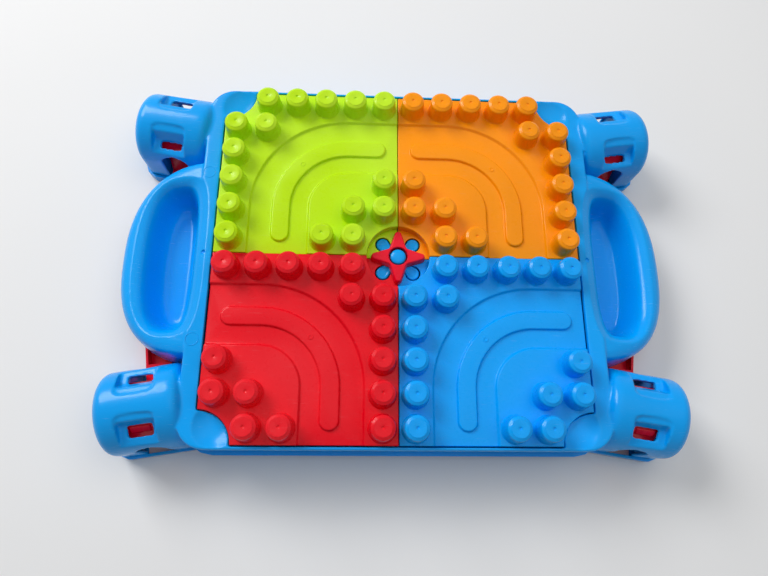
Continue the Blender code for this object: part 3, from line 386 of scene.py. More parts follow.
def ramp(tree, source, low, high, start=0.0, end=1.0):
    """Map a value from one range to another, clamped."""
    node = tree.nodes.new("ShaderNodeMapRange")
    node.inputs["From Min"].default_value = low
    node.inputs["From Max"].default_value = high
    node.inputs["To Min"].default_value = start
    node.inputs["To Max"].default_value = end
    tree.links.new(source, node.inputs["Value"])
    return node.outputs["Result"]


def math_node(tree, operation, first, second):
    """A Math node fed by sockets or numbers."""
    node = tree.nodes.new("ShaderNodeMath")
    node.operation = operation
    for socket, value in zip(node.inputs, (first, second)):
        if isinstance(value, (int, float)):
            socket.default_value = value
        else:
            tree.links.new(value, socket)
    return node.outputs[0]


def mix_colour(tree, factor, first, second):
    """A colour mix fed by sockets or colours."""
    node = tree.nodes.new("ShaderNodeMix")
    node.data_type = "RGBA"
    colour_inputs = [socket for socket in node.inputs if socket.type == "RGBA"]
    tree.links.new(factor, node.inputs[0])
    for socket, value in zip(colour_inputs, (first, second)):
        if isinstance(value, tuple):
            socket.default_value = value
        else:
            tree.links.new(value, socket)
    return [socket for socket in node.outputs if socket.type == "RGBA"][0]


WEAR_GROUP = "Moulded plastic wear"


def build_moulded_group():
    """Colour, roughness and height of injection-moulded plastic that has been played with."""
    tree, given, out = new_group(
        WEAR_GROUP,
        [("Colour", "NodeSocketColor", (0.5, 0.5, 0.5, 1.0)),
         ("Gloss Roughness", "NodeSocketFloat", 0.2),
         ("Wear", "NodeSocketFloat", 0.3)],
        [("Colour", "NodeSocketColor"), ("Roughness", "NodeSocketFloat"),
         ("Height", "NodeSocketFloat")])
    coordinates = tree.nodes.new("ShaderNodeTexCoord").outputs["Object"]
    broad = noise(tree, 9.0, 2.0, coordinates).outputs["Fac"]
    fine = noise(tree, 160.0, 3.0, coordinates).outputs["Fac"]
    grain = noise(tree, 900.0, 2.0, coordinates).outputs["Fac"]
    # Scuffs are a noise stretched along one slanted direction.
    stretched = tree.nodes.new("ShaderNodeMapping")
    stretched.inputs["Rotation"].default_value = (0.3, 0.5, 0.8)
    stretched.inputs["Scale"].default_value = (1.0, 14.0, 5.0)
    tree.links.new(coordinates, stretched.inputs["Vector"])
    scuffs = noise(tree, 55.0, 4.0, stretched.outputs["Vector"], 0.65).outputs["Fac"]
    wear = math_node(tree, "MULTIPLY", ramp(tree, scuffs, 0.62, 0.74), given.outputs["Wear"])
    darker = tree.nodes.new("ShaderNodeHueSaturation")
    darker.inputs["Value"].default_value = 0.93
    darker.inputs["Saturation"].default_value = 1.03
    tree.links.new(given.outputs["Colour"], darker.inputs["Color"])
    clouded = mix_colour(tree, ramp(tree, broad, 0.40, 0.62), darker.outputs["Color"],
                         given.outputs["Colour"])
    dust = (0.85, 0.85, 0.85, 1.0)
    dulled = mix_colour(tree, math_node(tree, "MULTIPLY", wear, 0.16), clouded, dust)
    rough = math_node(tree, "ADD", given.outputs["Gloss Roughness"],
                      math_node(tree, "MULTIPLY", ramp(tree, fine, 0.3, 0.7), 0.05))
    rough = math_node(tree, "ADD", rough, math_node(tree, "MULTIPLY", wear, 0.22))
    height = math_node(tree, "ADD", math_node(tree, "MULTIPLY", broad, 0.9),
                       math_node(tree, "MULTIPLY", grain, 0.05))
    tree.links.new(dulled, out.inputs["Colour"])
    tree.links.new(rough, out.inputs["Roughness"])
    tree.links.new(height, out.inputs["Height"])
    return tree


def moulded_plastic(name, colour, roughness, wear, coat):
    """A glossy moulded plastic with clouded colour, scuffs and a faint surface swell."""
    material = bpy.data.materials.new(name)
    material.use_nodes = True
    tree = material.node_tree
    shader = tree.nodes["Principled BSDF"]
    group = tree.nodes.new("ShaderNodeGroup")
    group.node_tree = bpy.data.node_groups.get(WEAR_GROUP) or build_moulded_group()
    group.inputs["Colour"].default_value = (*colour, 1.0)
    group.inputs["Gloss Roughness"].default_value = roughness
    group.inputs["Wear"].default_value = wear
    bump = tree.nodes.new("ShaderNodeBump")
    bump.inputs["Strength"].default_value = 0.35
    bump.inputs["Distance"].default_value = 0.0006
    tree.links.new(group.outputs["Height"], bump.inputs["Height"])
    tree.links.new(group.outputs["Colour"], shader.inputs["Base Color"])
    tree.links.new(group.outputs["Roughness"], shader.inputs["Roughness"])
    tree.links.new(bump.outputs["Normal"], shader.inputs["Normal"])
    shader.inputs["IOR"].default_value = 1.5
    shader.inputs["Specular IOR Level"].default_value = 0.16
    shader.inputs["Coat Weight"].default_value = coat
    shader.inputs["Coat Roughness"].default_value = 0.06
    return material


def plated_steel(name, colour):
    """Plated steel with a brushed grain and faint tarnish."""
    material = bpy.data.materials.new(name)
    material.use_nodes = True
    tree = material.node_tree
    shader = tree.nodes["Principled BSDF"]
    coordinates = tree.nodes.new("ShaderNodeTexCoord").outputs["Object"]
    brushed = tree.nodes.new("ShaderNodeMapping")
    brushed.inputs["Scale"].default_value = (1.0, 1.0, 30.0)
    tree.links.new(coordinates, brushed.inputs["Vector"])
    grain = noise(tree, 400.0, 3.0, brushed.outputs["Vector"]).outputs["Fac"]
    tarnish = noise(tree, 120.0, 2.0, coordinates).outputs["Fac"]
    tint = mix_colour(tree, ramp(tree, tarnish, 0.4, 0.7), (*colour, 1.0),
                      (colour[0] * 0.8, colour[1] * 0.77, colour[2] * 0.70, 1.0))
    tree.links.new(tint, shader.inputs["Base Color"])
    tree.links.new(ramp(tree, grain, 0.3, 0.7, 0.22, 0.38), shader.inputs["Roughness"])
    shader.inputs["Metallic"].default_value = 1.0
    return material


MATERIALS = {}


def coat_piece(obj, key):
    """Give a piece one of the shared finishes."""
    obj.data.materials.clear()
    obj.data.materials.append(MATERIALS[key])
    return obj


def coat_node(name, key):
    """Give a carried-over CAD node one of the shared finishes."""
    node = NODES[name]
    for slot in node.material_slots:
        slot.material = MATERIALS[key]
    return node


# Plates

def plate_outline(edge, radius, steps):
    """Plate seen from above: a square scooped at the L corner and at the cluster corner."""
    half = PLATE_SPAN / 2
    lean = math.degrees(math.asin((half - edge) / radius))
    points = arc((half, half), radius, 270 - lean, 180 + lean, steps)
    points += [(-edge, edge)]
    points += arc((-half, -half), radius, 90 - lean, lean, steps)
    points += [(edge, -edge)]
    return points


def bent_band(near, far, end, steps, round_ends):
    """Outline of an L-bent band between two offsets from the L sides of the plate."""
    half = PLATE_SPAN / 2
    middle = half - ROAD_BEND_IN
    outer = middle + half - near
    inner = middle + half - far
    width = (outer - inner) / 2
    line = (outer + inner) / 2
    points = arc((middle, middle), outer, 180, 270, steps)
    if round_ends:
        points += arc((end - width, middle - line), width, -90, 90, 16)
    else:
        points += [(end, middle - outer), (end, middle - inner)]
    points += arc((middle, middle), inner, 270, 180, steps)
    if round_ends:
        points += arc((middle - line, end - width), width, 0, 180, 16)
    else:
        points += [(middle - inner, end), (middle - outer, end)]
    return points


def stud_centres():
    """Centres of the sixteen studs in the plate's own frame."""
    cells = [(i, 0) for i in range(1, 6)] + [(0, i) for i in range(1, 6)]
    cells += [(1, 1), (5, 3), (4, 4), (5, 4), (3, 5), (4, 5)]
    return [((i + 0.5) * PITCH - PLATE_SPAN / 2, (j + 0.5) * PITCH - PLATE_SPAN / 2)
            for i, j in cells]


def build_stud(props):
    """One stud: flared foot, tapered wall, soft shoulder, crisp flat top and a dimple."""
    top, flat, base = STUD_HEIGHT, STUD_FLAT_R, props.stud_radius
    shoulder = base - 0.0009
    flare_z, bend_z = 0.0014, top - 0.0045
    profile = [(base + 0.0006, -0.0012), (base + 0.0010, 0.0), (base + 0.0005, 0.0006),
               (base + 0.0001, flare_z)]
    profile += [(base + (shoulder - base) * t, flare_z + (bend_z - flare_z) * t)
                for t in (0.5, 1.0)]
    for i in range(1, 5):
        angle = math.radians(10 * i)
        profile.append((flat + (shoulder - flat) * math.cos(angle),
                        bend_z + 0.0041 * math.sin(angle)))
    profile += [(flat + 0.0001, top - 0.0003), (flat, top), (0.0020, top),
                (0.0015, top - 0.0002), (0.0012, top - 0.0009), (0.0005, top - 0.0011)]
    return disc_stack("stud", profile, props.stud_sides)


def lobe_outline(radius, reach, steps):
    """A teardrop along +X with its point at the centre."""
    lean = math.degrees(math.acos(radius / reach))
    return [(0.0, 0.0)] + arc((reach, 0.0), radius, -180 + lean, 180 - lean, steps)


def lock_ledge(sign):
    """Low ledge in a scooped corner, notched for the knob's arm."""
    corner = (sign * PLATE_SPAN / 2, sign * PLATE_SPAN / 2)
    start = 180 if sign > 0 else 0
    outline = arc(corner, CORNER_CUT_R + 0.001, start + 0.6, start + 89.4, 24)
    outline += arc(corner, LOCK_LEDGE_R, start + 88.6, start + 1.4, 16)
    ledge = prism("ledge", outline, LOCK_LEDGE_FOOT, LOCK_LEDGE_TOP)
    notch = prism("notch", lobe_outline(LOBE_R + LOBE_CLEARANCE, LOBE_REACH, 24), -0.02, 0.0)
    turn = Matrix.Rotation(math.radians(start + 45), 4, "Z")
    place(notch, Matrix.Translation((*corner, 0.0)) @ turn)
    boolean(ledge, notch)
    return finish_modifier(ledge, "BEVEL", width=0.0004, segments=2, limit_method="ANGLE")


def build_plate(props):
    """The plate moulding: hollow block, sunk road, pill ridge, ledges and studs."""
    half = PLATE_SPAN / 2
    edge = half - PLATE_GAP
    plate = prism("plate", plate_outline(edge, CORNER_CUT_R, 28), -PLATE_DEPTH, 0.0)
    road = stack_rings("road", [[(x, y, z) for x, y in
                                 bent_band(ROAD_NEAR + slope, ROAD_FAR - slope, half + 0.002,
                                           40, False)]
                                for slope, z in ((0.0018, -ROAD_SUNK), (-0.0030, 0.005))])
    boolean(plate, road)
    ridge = stack_rings("ridge", [[(x, y, z) for x, y in
                                   bent_band(RIDGE_NEAR + slope, RIDGE_FAR - slope,
                                             half - RIDGE_END_IN - slope, 40, True)]
                                  for slope, z in ((-0.0008, -0.004), (-0.0002, -0.0016),
                                                   (0.0006, 0.0))])
    boolean(plate, ridge, "UNION")
    finish_modifier(plate, "BEVEL", width=props.edge_round, segments=4, limit_method="ANGLE",
                    angle_limit=math.radians(25), use_clamp_overlap=True)
    hollow = prism("hollow", plate_outline(edge - PLATE_WALL, CORNER_CUT_R + PLATE_WALL, 28),
                   -PLATE_DEPTH - 0.002, -PLATE_ROOF)
    boolean(plate, hollow)
    pieces = [plate, lock_ledge(1), lock_ledge(-1)]
    stud = build_stud(props)
    for x, y in stud_centres():
        pieces.append(place(copy_piece(stud, "stud"), Matrix.Translation((x, y, 0.0))))
    dimple = disc_stack("dimple", [(0.0031, -0.0002), (0.0027, 0.0004), (0.0017, 0.0005),
                                   (0.0012, 0.0001), (0.0004, 0.00005)], 24)
    bend = half - ROAD_BEND_IN
    spot = bend - (bend + half - RIDGE_LINE) * math.sqrt(0.5)
    pieces.append(place(dimple, Matrix.Translation((spot, spot, 0.0))))
    bpy.data.objects.remove(stud, do_unlink=True)
    clear_selection()
    for piece in pieces:
        piece.select_set(True)
    bpy.context.view_layer.objects.active = plate
    bpy.ops.object.join()
    return smooth(plate, 27)


PLATE_PLACES = (("lime", -1, 1, -90), ("orange", 1, 1, 180), ("red", -1, -1, 180),
                ("blue", 1, -1, -90))


class SCENE_OT_stud_plates(bpy.types.Operator):
    """Build the four stud plates"""
    bl_idname = "block_table.stud_plates"
    bl_label = "Stud plates"

    def execute(self, context):
        master = build_plate(context.scene.block_table)
        quarter = PLATE_SPAN / 2
        for name, sx, sy, turn in PLATE_PLACES:
            plate = copy_piece(master, name + "_plate_shell")
            place(plate, Matrix.Translation((sx * quarter, sy * quarter, DECK_Z))
                  @ Matrix.Rotation(math.radians(turn), 4, "Z"))
            coat_piece(plate, name)
            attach(plate, "table")
            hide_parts(name + "_plate")
        bpy.data.objects.remove(master, do_unlink=True)
        return {"FINISHED"}


# Top frame

def crest_drop(x):
    """How far the tray rim has fallen below the rail at a distance from the middle."""
    over = (x - CREST_X) / CREST_SOFTNESS
    return TRAY_FALL * math.log1p(math.exp(over)) * CREST_SOFTNESS


def tray_bow(inset, height, fall, steps):
    """One level of the tray's outside, closed by a straight back at the rail."""
    points = []
    for i in range(steps + 1):
        angle = math.pi * (i / steps - 0.5)
        x = TRAY_ROOT_X + abs(math.cos(angle)) ** TRAY_BOW_POWER * (TRAY_REACH - inset)
        x = max(x, TRAY_BACK_X)
        across = math.copysign(abs(math.sin(angle)) ** TRAY_BOW_POWER, angle)
        y = across * (TRAY_HALF - inset)
        points.append((x, y, height - fall * crest_drop(x)))
    return points


def recess_ring(back, front, side, height, fall, steps):
    """One level of the recess: flat towards the rail, bowed towards the outside."""
    back_x, front_x, half = FRAME_X + back, TRAY_ROOT_X + TRAY_REACH - front, TRAY_HALF - side
    middle = back_x + (front_x - back_x) * RECESS_MIDDLE
    points = []
    for i in range(steps):
        angle = 2 * math.pi * (i + 0.5) / steps
        c, s = math.cos(angle), math.sin(angle)
        power = 2 / (RECESS_FRONT_POWER if c > 0 else RECESS_BACK_POWER)
        reach = front_x - middle if c > 0 else middle - back_x
        x = middle + math.copysign(abs(c) ** power, c) * reach
        y = math.copysign(abs(s) ** power, s) * half
        points.append((x, y, height - fall * crest_drop(x)))
    return points


def tray_shapes(steps):
    """Outside, recess and underside hollow of the tray."""
    levels = [(0.0, 0.019, 0.0), (0.0004, 0.027, 0.0), (0.001, 0.035, 0.0),
              (0.0035, DECK_Z - 0.0073, 1.0), (0.009, DECK_Z - 0.0013, 1.0),
              (0.017, DECK_Z - 0.0001, 1.0)]
    outside = stack_rings("tray_outside", [tray_bow(*level, steps)
                                           for level in between(levels, 3)])
    rings = [(0.020, 0.046, 0.050, TRAY_FLOOR_Z, 0.0),
             (0.015, 0.040, 0.044, TRAY_FLOOR_Z + 0.0025, 0.0),
             (0.009, 0.035, 0.038, TRAY_FLOOR_Z + 0.0115, 0.0),
             (0.003, 0.030, 0.0315, DECK_Z - 0.0115, 1.0),
             (-0.0025, 0.025, 0.0275, DECK_Z - 0.0045, 1.0),
             (-0.010, 0.0185, 0.0225, DECK_Z - 0.0004, 1.0),
             (-0.019, 0.007, 0.013, DECK_Z + 0.006, 1.0)]
    recess = stack_rings("tray_recess", [recess_ring(*ring, steps * 2)
                                         for ring in between(rings, 3)])
    wall = TRAY_WALL
    keep = stack_rings("recess_wall", [recess_ring(back - wall, front - wall, side - wall,
                                                   z - wall, fall, steps)
                                       for back, front, side, z, fall in rings])
    under = []
    for inset, z, fall in levels:
        ring = tray_bow(inset + wall, z - (wall if fall else 0.002), fall, steps)
        under.append([(max(x, FRAME_X + SPLIT_GAP), y, height) for x, y, height in ring])
    hollow = stack_rings("tray_hollow", under)
    boolean(hollow, keep)
    return outside, recess, hollow


BARREL_INNER_END = ((-0.0385, 0.0335), (-0.0362, 0.0368), (-0.0342, 0.0393), (-0.0318, 0.0410),
                    (-0.0290, 0.0418), (-0.0255, 0.0420), (-0.0100, 0.0418), (0.0100, 0.0413))


def barrel_stations():
    """Distance along the pin and radius of the barrel's outside, with a squarish dome."""
    stations = list(BARREL_INNER_END)
    # The dome ends in a small flat disc, so the last angle is just above 0.
    for i in range(19):
        angle = math.radians(90 - 4.8 * i)
        along = math.cos(angle) ** (2 / BARREL_DOME_POWER)
        across = math.sin(angle) ** (2 / BARREL_DOME_POWER)
        stations.append((BARREL_STRAIGHT + BARREL_DOME * along, BARREL_R * across))
    return stations


def arched_ring(along, radius, bottom, steps):
    """Section across the pin: half circle above, upright walls below."""
    ring = [(along, -radius, bottom)]
    for i in range(steps + 1):
        angle = math.pi * i / steps
        ring.append((along, -radius * math.cos(angle), radius * math.sin(angle)))
    ring.append((along, radius, bottom))
    return ring


def chamber(radius, start, end):
    """A hollow along the pin with flats behind the finger pockets."""
    flats = [Vector((math.cos(math.radians(angle)), math.sin(math.radians(angle))))
             for angle in (OUTER_POCKET_DEG, 180 - INNER_POCKET_DEG)]
    upper = []
    for i in range(1, 48):
        angle = math.pi * i / 48
        point = Vector((-radius * math.cos(angle), radius * math.sin(angle)))
        for normal in flats:
            over = point.dot(normal) - CHAMBER_FLAT_R
            if over > 0:
                point -= normal * over
        upper.append(tuple(point))
    section = [(-radius, TOOL_FOOT), (-radius, 0.0)] + upper
    section += [(radius, 0.0), (radius, TOOL_FOOT)]
    return stack_rings("chamber", [[(x, y, z) for y, z in section] for x in (start, end)])


def pocket_tools(sign, seat_deg, brow_deg, brow_rise, slot_width):
    """Finger pocket of one shoulder: steep wall, sloping shelf, arched brow and shelf slot.

    The sign is the shoulder's side of the pin, and the seat's angle is where wall and shelf meet.
    """
    inner, outer = POCKET_ENDS
    y = POCKET_CORNER_R * math.cos(math.radians(seat_deg))
    z = POCKET_CORNER_R * math.sin(math.radians(seat_deg))
    wall = math.tan(math.radians(POCKET_WALL_DEG))
    fall = math.tan(math.radians(POCKET_SHELF_DEG))
    top, out = BARREL_R + 0.006, BARREL_R + 0.009
    section = [(y, z), (y - (top - z) / wall, top), (out, top), (out, z - (out - y) * fall)]
    pocket = stack_rings("pocket", [[(x, sign * a, b) for a, b in section]
                                    for x in (inner, outer)])
    half, centre = (outer - inner) / 2 + BROW_SPARE, (outer + inner) / 2
    arch = [(centre - half, sign * BROW_FOOT)]
    for i in range(25):
        angle = math.pi * i / 24
        arch.append((centre - half * math.cos(angle),
                     -sign * brow_rise * math.sin(angle) ** 0.8))
    arch.append((centre + half, sign * BROW_FOOT))
    brow = prism("brow", arch, BARREL_R - BROW_SUNK, top)
    place(brow, Matrix.Rotation(math.radians(-brow_deg * sign), 4, "X"))
    edges = sorted((sign * (y + 0.0002), sign * (y + slot_width)))
    start, end = POCKET_SLOT_ENDS
    slot = block("slot", (start, edges[0], z - 0.014), (end, edges[1], z + 0.006))
    return [pocket, brow, slot]


def barrel_tools():
    """Everything that is cut out of one barrel, in the hinge frame."""
    past = CHAMBER_HALF + CHAMBER_WEB
    tools = [chamber(CHAMBER_R, -CHAMBER_HALF, CHAMBER_HALF),
             chamber(OUTER_ROOM_R, past, BARREL_STRAIGHT + CHAMBER_WEB),
             chamber(INNER_ROOM_R, INNER_ROOM_END, -past)]
    half, spring = LEG_SLOT_HALF, LEG_SLOT_SPRING
    arch = [(-half, TOOL_FOOT), (-half, spring)]
    for i in range(1, 12):
        angle = math.pi * i / 12
        arch.append((-half * math.cos(angle), spring + LEG_SLOT_RISE * math.sin(angle)))
    arch += [(half, spring), (half, TOOL_FOOT)]
    tools.append(stack_rings("leg_slot", [[(x, y, z) for x, z in arch]
                                          for y in (-LEG_SLOT_REACH, LEG_SLOT_REACH)]))
    tools += pocket_tools(1, OUTER_POCKET_DEG, brow_deg=17.0, brow_rise=0.0060,
                          slot_width=0.0112)
    tools += pocket_tools(-1, INNER_POCKET_DEG, brow_deg=24.0, brow_rise=0.0062,
                          slot_width=0.0080)
    return tools


def frame_quarter(props):
    """The far right quarter of the top frame, softened like a moulding."""
    levels = [(0.0, FRAME_SPLIT_Z + SPLIT_GAP)]
    levels += [(inset, DECK_Z - drop) for inset, drop in round_over(FRAME_EDGE_R, 4)]
    body = stack_rings("frame_quarter", [
        [(x, y, z) for x, y in rounded_rectangle(FRAME_X - inset, FRAME_Y - inset,
                                                 FRAME_CORNER_R - inset, 12)]
        for inset, z in levels])
    outside, recess, hollow = tray_shapes(40)
    boolean(body, outside, "UNION")
    hinge = Matrix.Translation(HINGE) @ Matrix.Rotation(SPLAY, 4, "Z")
    barrel = stack_rings("barrel", [arched_ring(along, radius, BARREL_FOOT, 48)
                                    for along, radius in barrel_stations()])
    neck = stack_rings("neck", [arched_ring(along, NECK_R, NECK_FOOT, 32)
                                for along in NECK_ENDS])
    boolean(body, place(barrel, hinge), "UNION")
    boolean(body, place(neck, hinge), "UNION")
    boolean(body, recess)
    boolean(body, hollow)
    for tool in barrel_tools():
        boolean(body, place(tool, hinge))
    for tool in well_tools():
        boolean(body, tool)
    # The spare width keeps the smoothing away from the planes where the quarters meet.
    trimmed_quarter(body, QUARTER_SPARE)
    finish_modifier(body, "REMESH", mode="VOXEL", voxel_size=props.skin_step, adaptivity=0.0)
    finish_modifier(body, "SMOOTH", factor=0.5, iterations=props.skin_rounding)
    dimple = [(0.0009, DECK_Z - 0.0038), (0.0018, DECK_Z - 0.0033), (0.0025, DECK_Z - 0.0022),
              (0.0029, DECK_Z - 0.0008), (0.0031, DECK_Z + 0.0010)]
    boolean(body, disc_stack("dimple", dimple, 32, (DIMPLE_X, 0.0)))
    trimmed_quarter(body, 0.0)
    return smooth(body, 40)


def well_tools():
    """Plate well, ledge opening, tub opening, rail channel, shell room and corner bowl."""
    half, reach, corner = WELL_HALF, CORNER_CUT_R - 0.001, 0.003
    well = [(-half, -half), (half, -half)]
    lean = math.degrees(math.asin((half - PLATE_SPAN) / reach))
    well += arc((PLATE_SPAN, PLATE_SPAN), reach, 270 + lean, 180 - lean, 24) + [(-half, half)]
    tools = [prism("well", well, SEAT_Z, DECK_Z + 0.002),
             prism("tuck", rounded_rectangle(half, half, corner, 4), SEAT_Z, DECK_Z - TUCK_DROP),
             prism("seat", rounded_rectangle(LEDGE_INNER, LEDGE_INNER, corner, 4), WELL_FOOT_Z,
                   SEAT_Z + 0.001),
             prism("tub", rounded_rectangle(TUB_HALF, TUB_HALF, corner, 4), WELL_FOOT_Z,
                   SEAT_Z - 0.003),
             block("channel", (half + SPLIT_GAP, -CHANNEL_HALF, WELL_FOOT_Z),
                   (CHANNEL_X, CHANNEL_HALF, DECK_Z - CHANNEL_DROP)),
             prism("shell_room", rounded_rectangle(SHELL_ROOM_X, SHELL_ROOM_Y,
                                                   SHELL_ROOM_CORNER_R, 12),
                   -0.01, FRAME_SPLIT_Z + SPLIT_GAP)]
    clear_selection()
    bpy.ops.mesh.primitive_uv_sphere_add(segments=64, ring_count=32, radius=BOWL_R,
                                         location=(0.0, 0.0, 0.0))
    bowl = bpy.context.object
    spot = PLATE_SPAN - CORNER_CUT_R * BOWL_SHARE
    place(bowl, Matrix.Translation((spot, spot, DECK_Z + BOWL_R - BOWL_DEPTH)))
    tools.append(bowl)
    return tools


def trimmed_quarter(obj, margin):
    """Cut away all but the far right quarter and a margin, with closed cut faces."""
    activate(obj)
    bpy.ops.object.mode_set(mode="EDIT")
    for normal in ((1, 0, 0), (0, 1, 0)):
        bpy.ops.mesh.select_all(action="SELECT")
        bpy.ops.mesh.bisect(plane_co=(-margin, -margin, 0.0), plane_no=normal, use_fill=True,
                            clear_inner=True, clear_outer=False, threshold=0.000001)
    bpy.ops.object.mode_set(mode="OBJECT")
    return obj


QUARTERS = (("far_right", 1, 1), ("far_left", -1, 1), ("near_left", -1, -1), ("near_right", 1, -1))


class SCENE_OT_top_frame(bpy.types.Operator):
    """Build the upper moulding with its rails, trays and corner barrels"""
    bl_idname = "block_table.top_frame"
    bl_label = "Top frame"

    def execute(self, context):
        master = frame_quarter(context.scene.block_table)
        for name, sx, sy in QUARTERS:
            quarter = copy_piece(master, "top_frame_" + name)
            place(quarter, Matrix.Diagonal((sx, sy, 1.0, 1.0)))
            coat_piece(quarter, "body")
            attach(quarter, "table")
            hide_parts("top_frame")
        bpy.data.objects.remove(master, do_unlink=True)
        return {"FINISHED"}


# Centre lock and rail marks

def star_outline(grow):
    """Four arms that narrow to round tips, with round corners between them."""
    away = (KNOB_WAIST + KNOB_WAIST_R) / math.sqrt(2)
    points = []
    for turn in range(4):
        spin = Matrix.Rotation(math.radians(90 * turn), 2)
        arm = arc((KNOB_TIP, 0.0), KNOB_TIP_R + grow, -72, 72, 10)
        corner = arc((away, away), KNOB_WAIST_R - grow, 252, 198, 10)
        points += [tuple(spin @ Vector(point)) for point in arm + corner]
    return points


class SCENE_OT_centre_lock(bpy.types.Operator):
    """Build the star knob, the spindle's head and the four teardrop lobes"""
    bl_idname = "block_table.centre_lock"
    bl_label = "Centre lock"

    def execute(self, context):
        levels = ((0.0010, KNOB_BASE_Z), (0.0007, KNOB_BASE_Z + 0.004),
                  (0.0001, KNOB_TOP_Z - 0.0016), (-0.0003, KNOB_TOP_Z - 0.0006),
                  (-0.0009, KNOB_TOP_Z - 0.0001), (-0.0013, KNOB_TOP_Z))
        knob = stack_rings("lock_knob_shell", [[(x, y, z) for x, y in star_outline(grow)]
                                               for grow, z in levels])
        stub = [(KNOB_STUB_R, KNOB_STUB_Z), (KNOB_STUB_R, KNOB_BASE_Z + 0.001)]
        boolean(knob, disc_stack("stub", stub, 64), "UNION")
        hole = [(KNOB_HOLE_R, KNOB_LIP_Z), (KNOB_HOLE_R, KNOB_TOP_Z - 0.0008),
                (KNOB_HOLE_R + 0.0008, KNOB_TOP_Z + 0.0001)]
        boolean(knob, disc_stack("hole", hole, 64))
        bore = [(KNOB_BORE_R, 0.05), (KNOB_BORE_R, 0.07)]
        boolean(knob, disc_stack("lip_hole", bore, 48))
        coat_piece(smooth(knob, 35), "moulding")
        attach(knob, "knob")
        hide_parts("lock_knob")

        profile = [(SPINDLE_R, SPINDLE_FOOT_Z), (SPINDLE_R, SPINDLE_HEAD_Z),
                   (SPINDLE_HEAD_R, SPINDLE_HEAD_Z + 0.0001)]
        for i in range(9):
            angle = math.radians(11 * i)
            profile.append((SPINDLE_HEAD_R * math.cos(angle),
                            SPINDLE_CROWN_Z + 0.0026 * math.sin(angle)))
        spindle = disc_stack("spindle_shell", profile, 64)
        coat_piece(smooth(spindle, 40), "body")
        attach(spindle, "table")
        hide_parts("knob_spindle")

        levels = ((0.0, -0.0030), (0.0001, 0.0), (0.0006, 0.0005), (0.0016, 0.0007),
                  (0.0028, 0.0003), (0.0045, -0.0002))
        lobe = stack_rings("lobe", [[(x, y, LOBE_TOP_Z + rise) for x, y in
                                     lobe_outline(LOBE_R - inset, LOBE_REACH, 32)]
                                    for inset, rise in levels])
        for i in range(4):
            cap = copy_piece(lobe, "lobe_cap_" + str(i + 1))
            place(cap, Matrix.Rotation(math.radians(45 + 90 * i), 4, "Z"))
            coat_piece(smooth(cap, 50), "body")
            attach(cap, "table")
        bpy.data.objects.remove(lobe, do_unlink=True)
        return {"FINISHED"}


class SCENE_OT_rail_marks(bpy.types.Operator):
    """Build the two plain moulded rings on the left rail"""
    bl_idname = "block_table.rail_marks"
    bl_label = "Rail marks"

    def execute(self, context):
        for i, (x, y) in enumerate(MARK_PLACES):
            clear_selection()
            bpy.ops.mesh.primitive_torus_add(major_radius=MARK_R, minor_radius=MARK_WIRE_R,
                                             major_segments=64, minor_segments=8)
            ring = context.object
            ring.name = "rail_mark_" + str(i + 1)
            ring.data.transform(Matrix.Translation((x, y, DECK_Z - MARK_SUNK)))
            coat_piece(smooth(ring, 60), "body")
            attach(ring, "table")
        return {"FINISHED"}


class SCENE_OT_carried_nodes(bpy.types.Operator):
    """Give the shell, legs, latch buttons, pins and screws their finishes"""
    bl_idname = "block_table.carried_nodes"
    bl_label = "Shell, legs and hardware"

    def execute(self, context):
        finishes = (("bottom_shell", "body"), ("leg_", "moulding"), ("latch_button_", "moulding"),
                    ("hinge_pin_", "steel"), ("shell_screw_", "steel"), ("lock_screw", "steel"))
        for start, key in finishes:
            chosen = [name for name in NODES if name.startswith(start)]
            if not chosen:
                raise RuntimeError("no node starts with " + start)
            for name in chosen:
                coat_node(name, key)
        return {"FINISHED"}


# Stage

def area_lamp(name, location, target, size, energy):
    """A soft rectangular lamp aimed at a point."""
    data = bpy.data.lights.new(name, "AREA")
    data.shape = "RECTANGLE"
    data.size, data.size_y = size
    data.energy = energy
    lamp = bpy.data.objects.new(name, data)
    bpy.context.scene.collection.objects.link(lamp)
    lamp.location = location
    aim = Vector(target) - Vector(location)
    lamp.rotation_euler = aim.to_track_quat("-Z", "Y").to_euler()
    return lamp


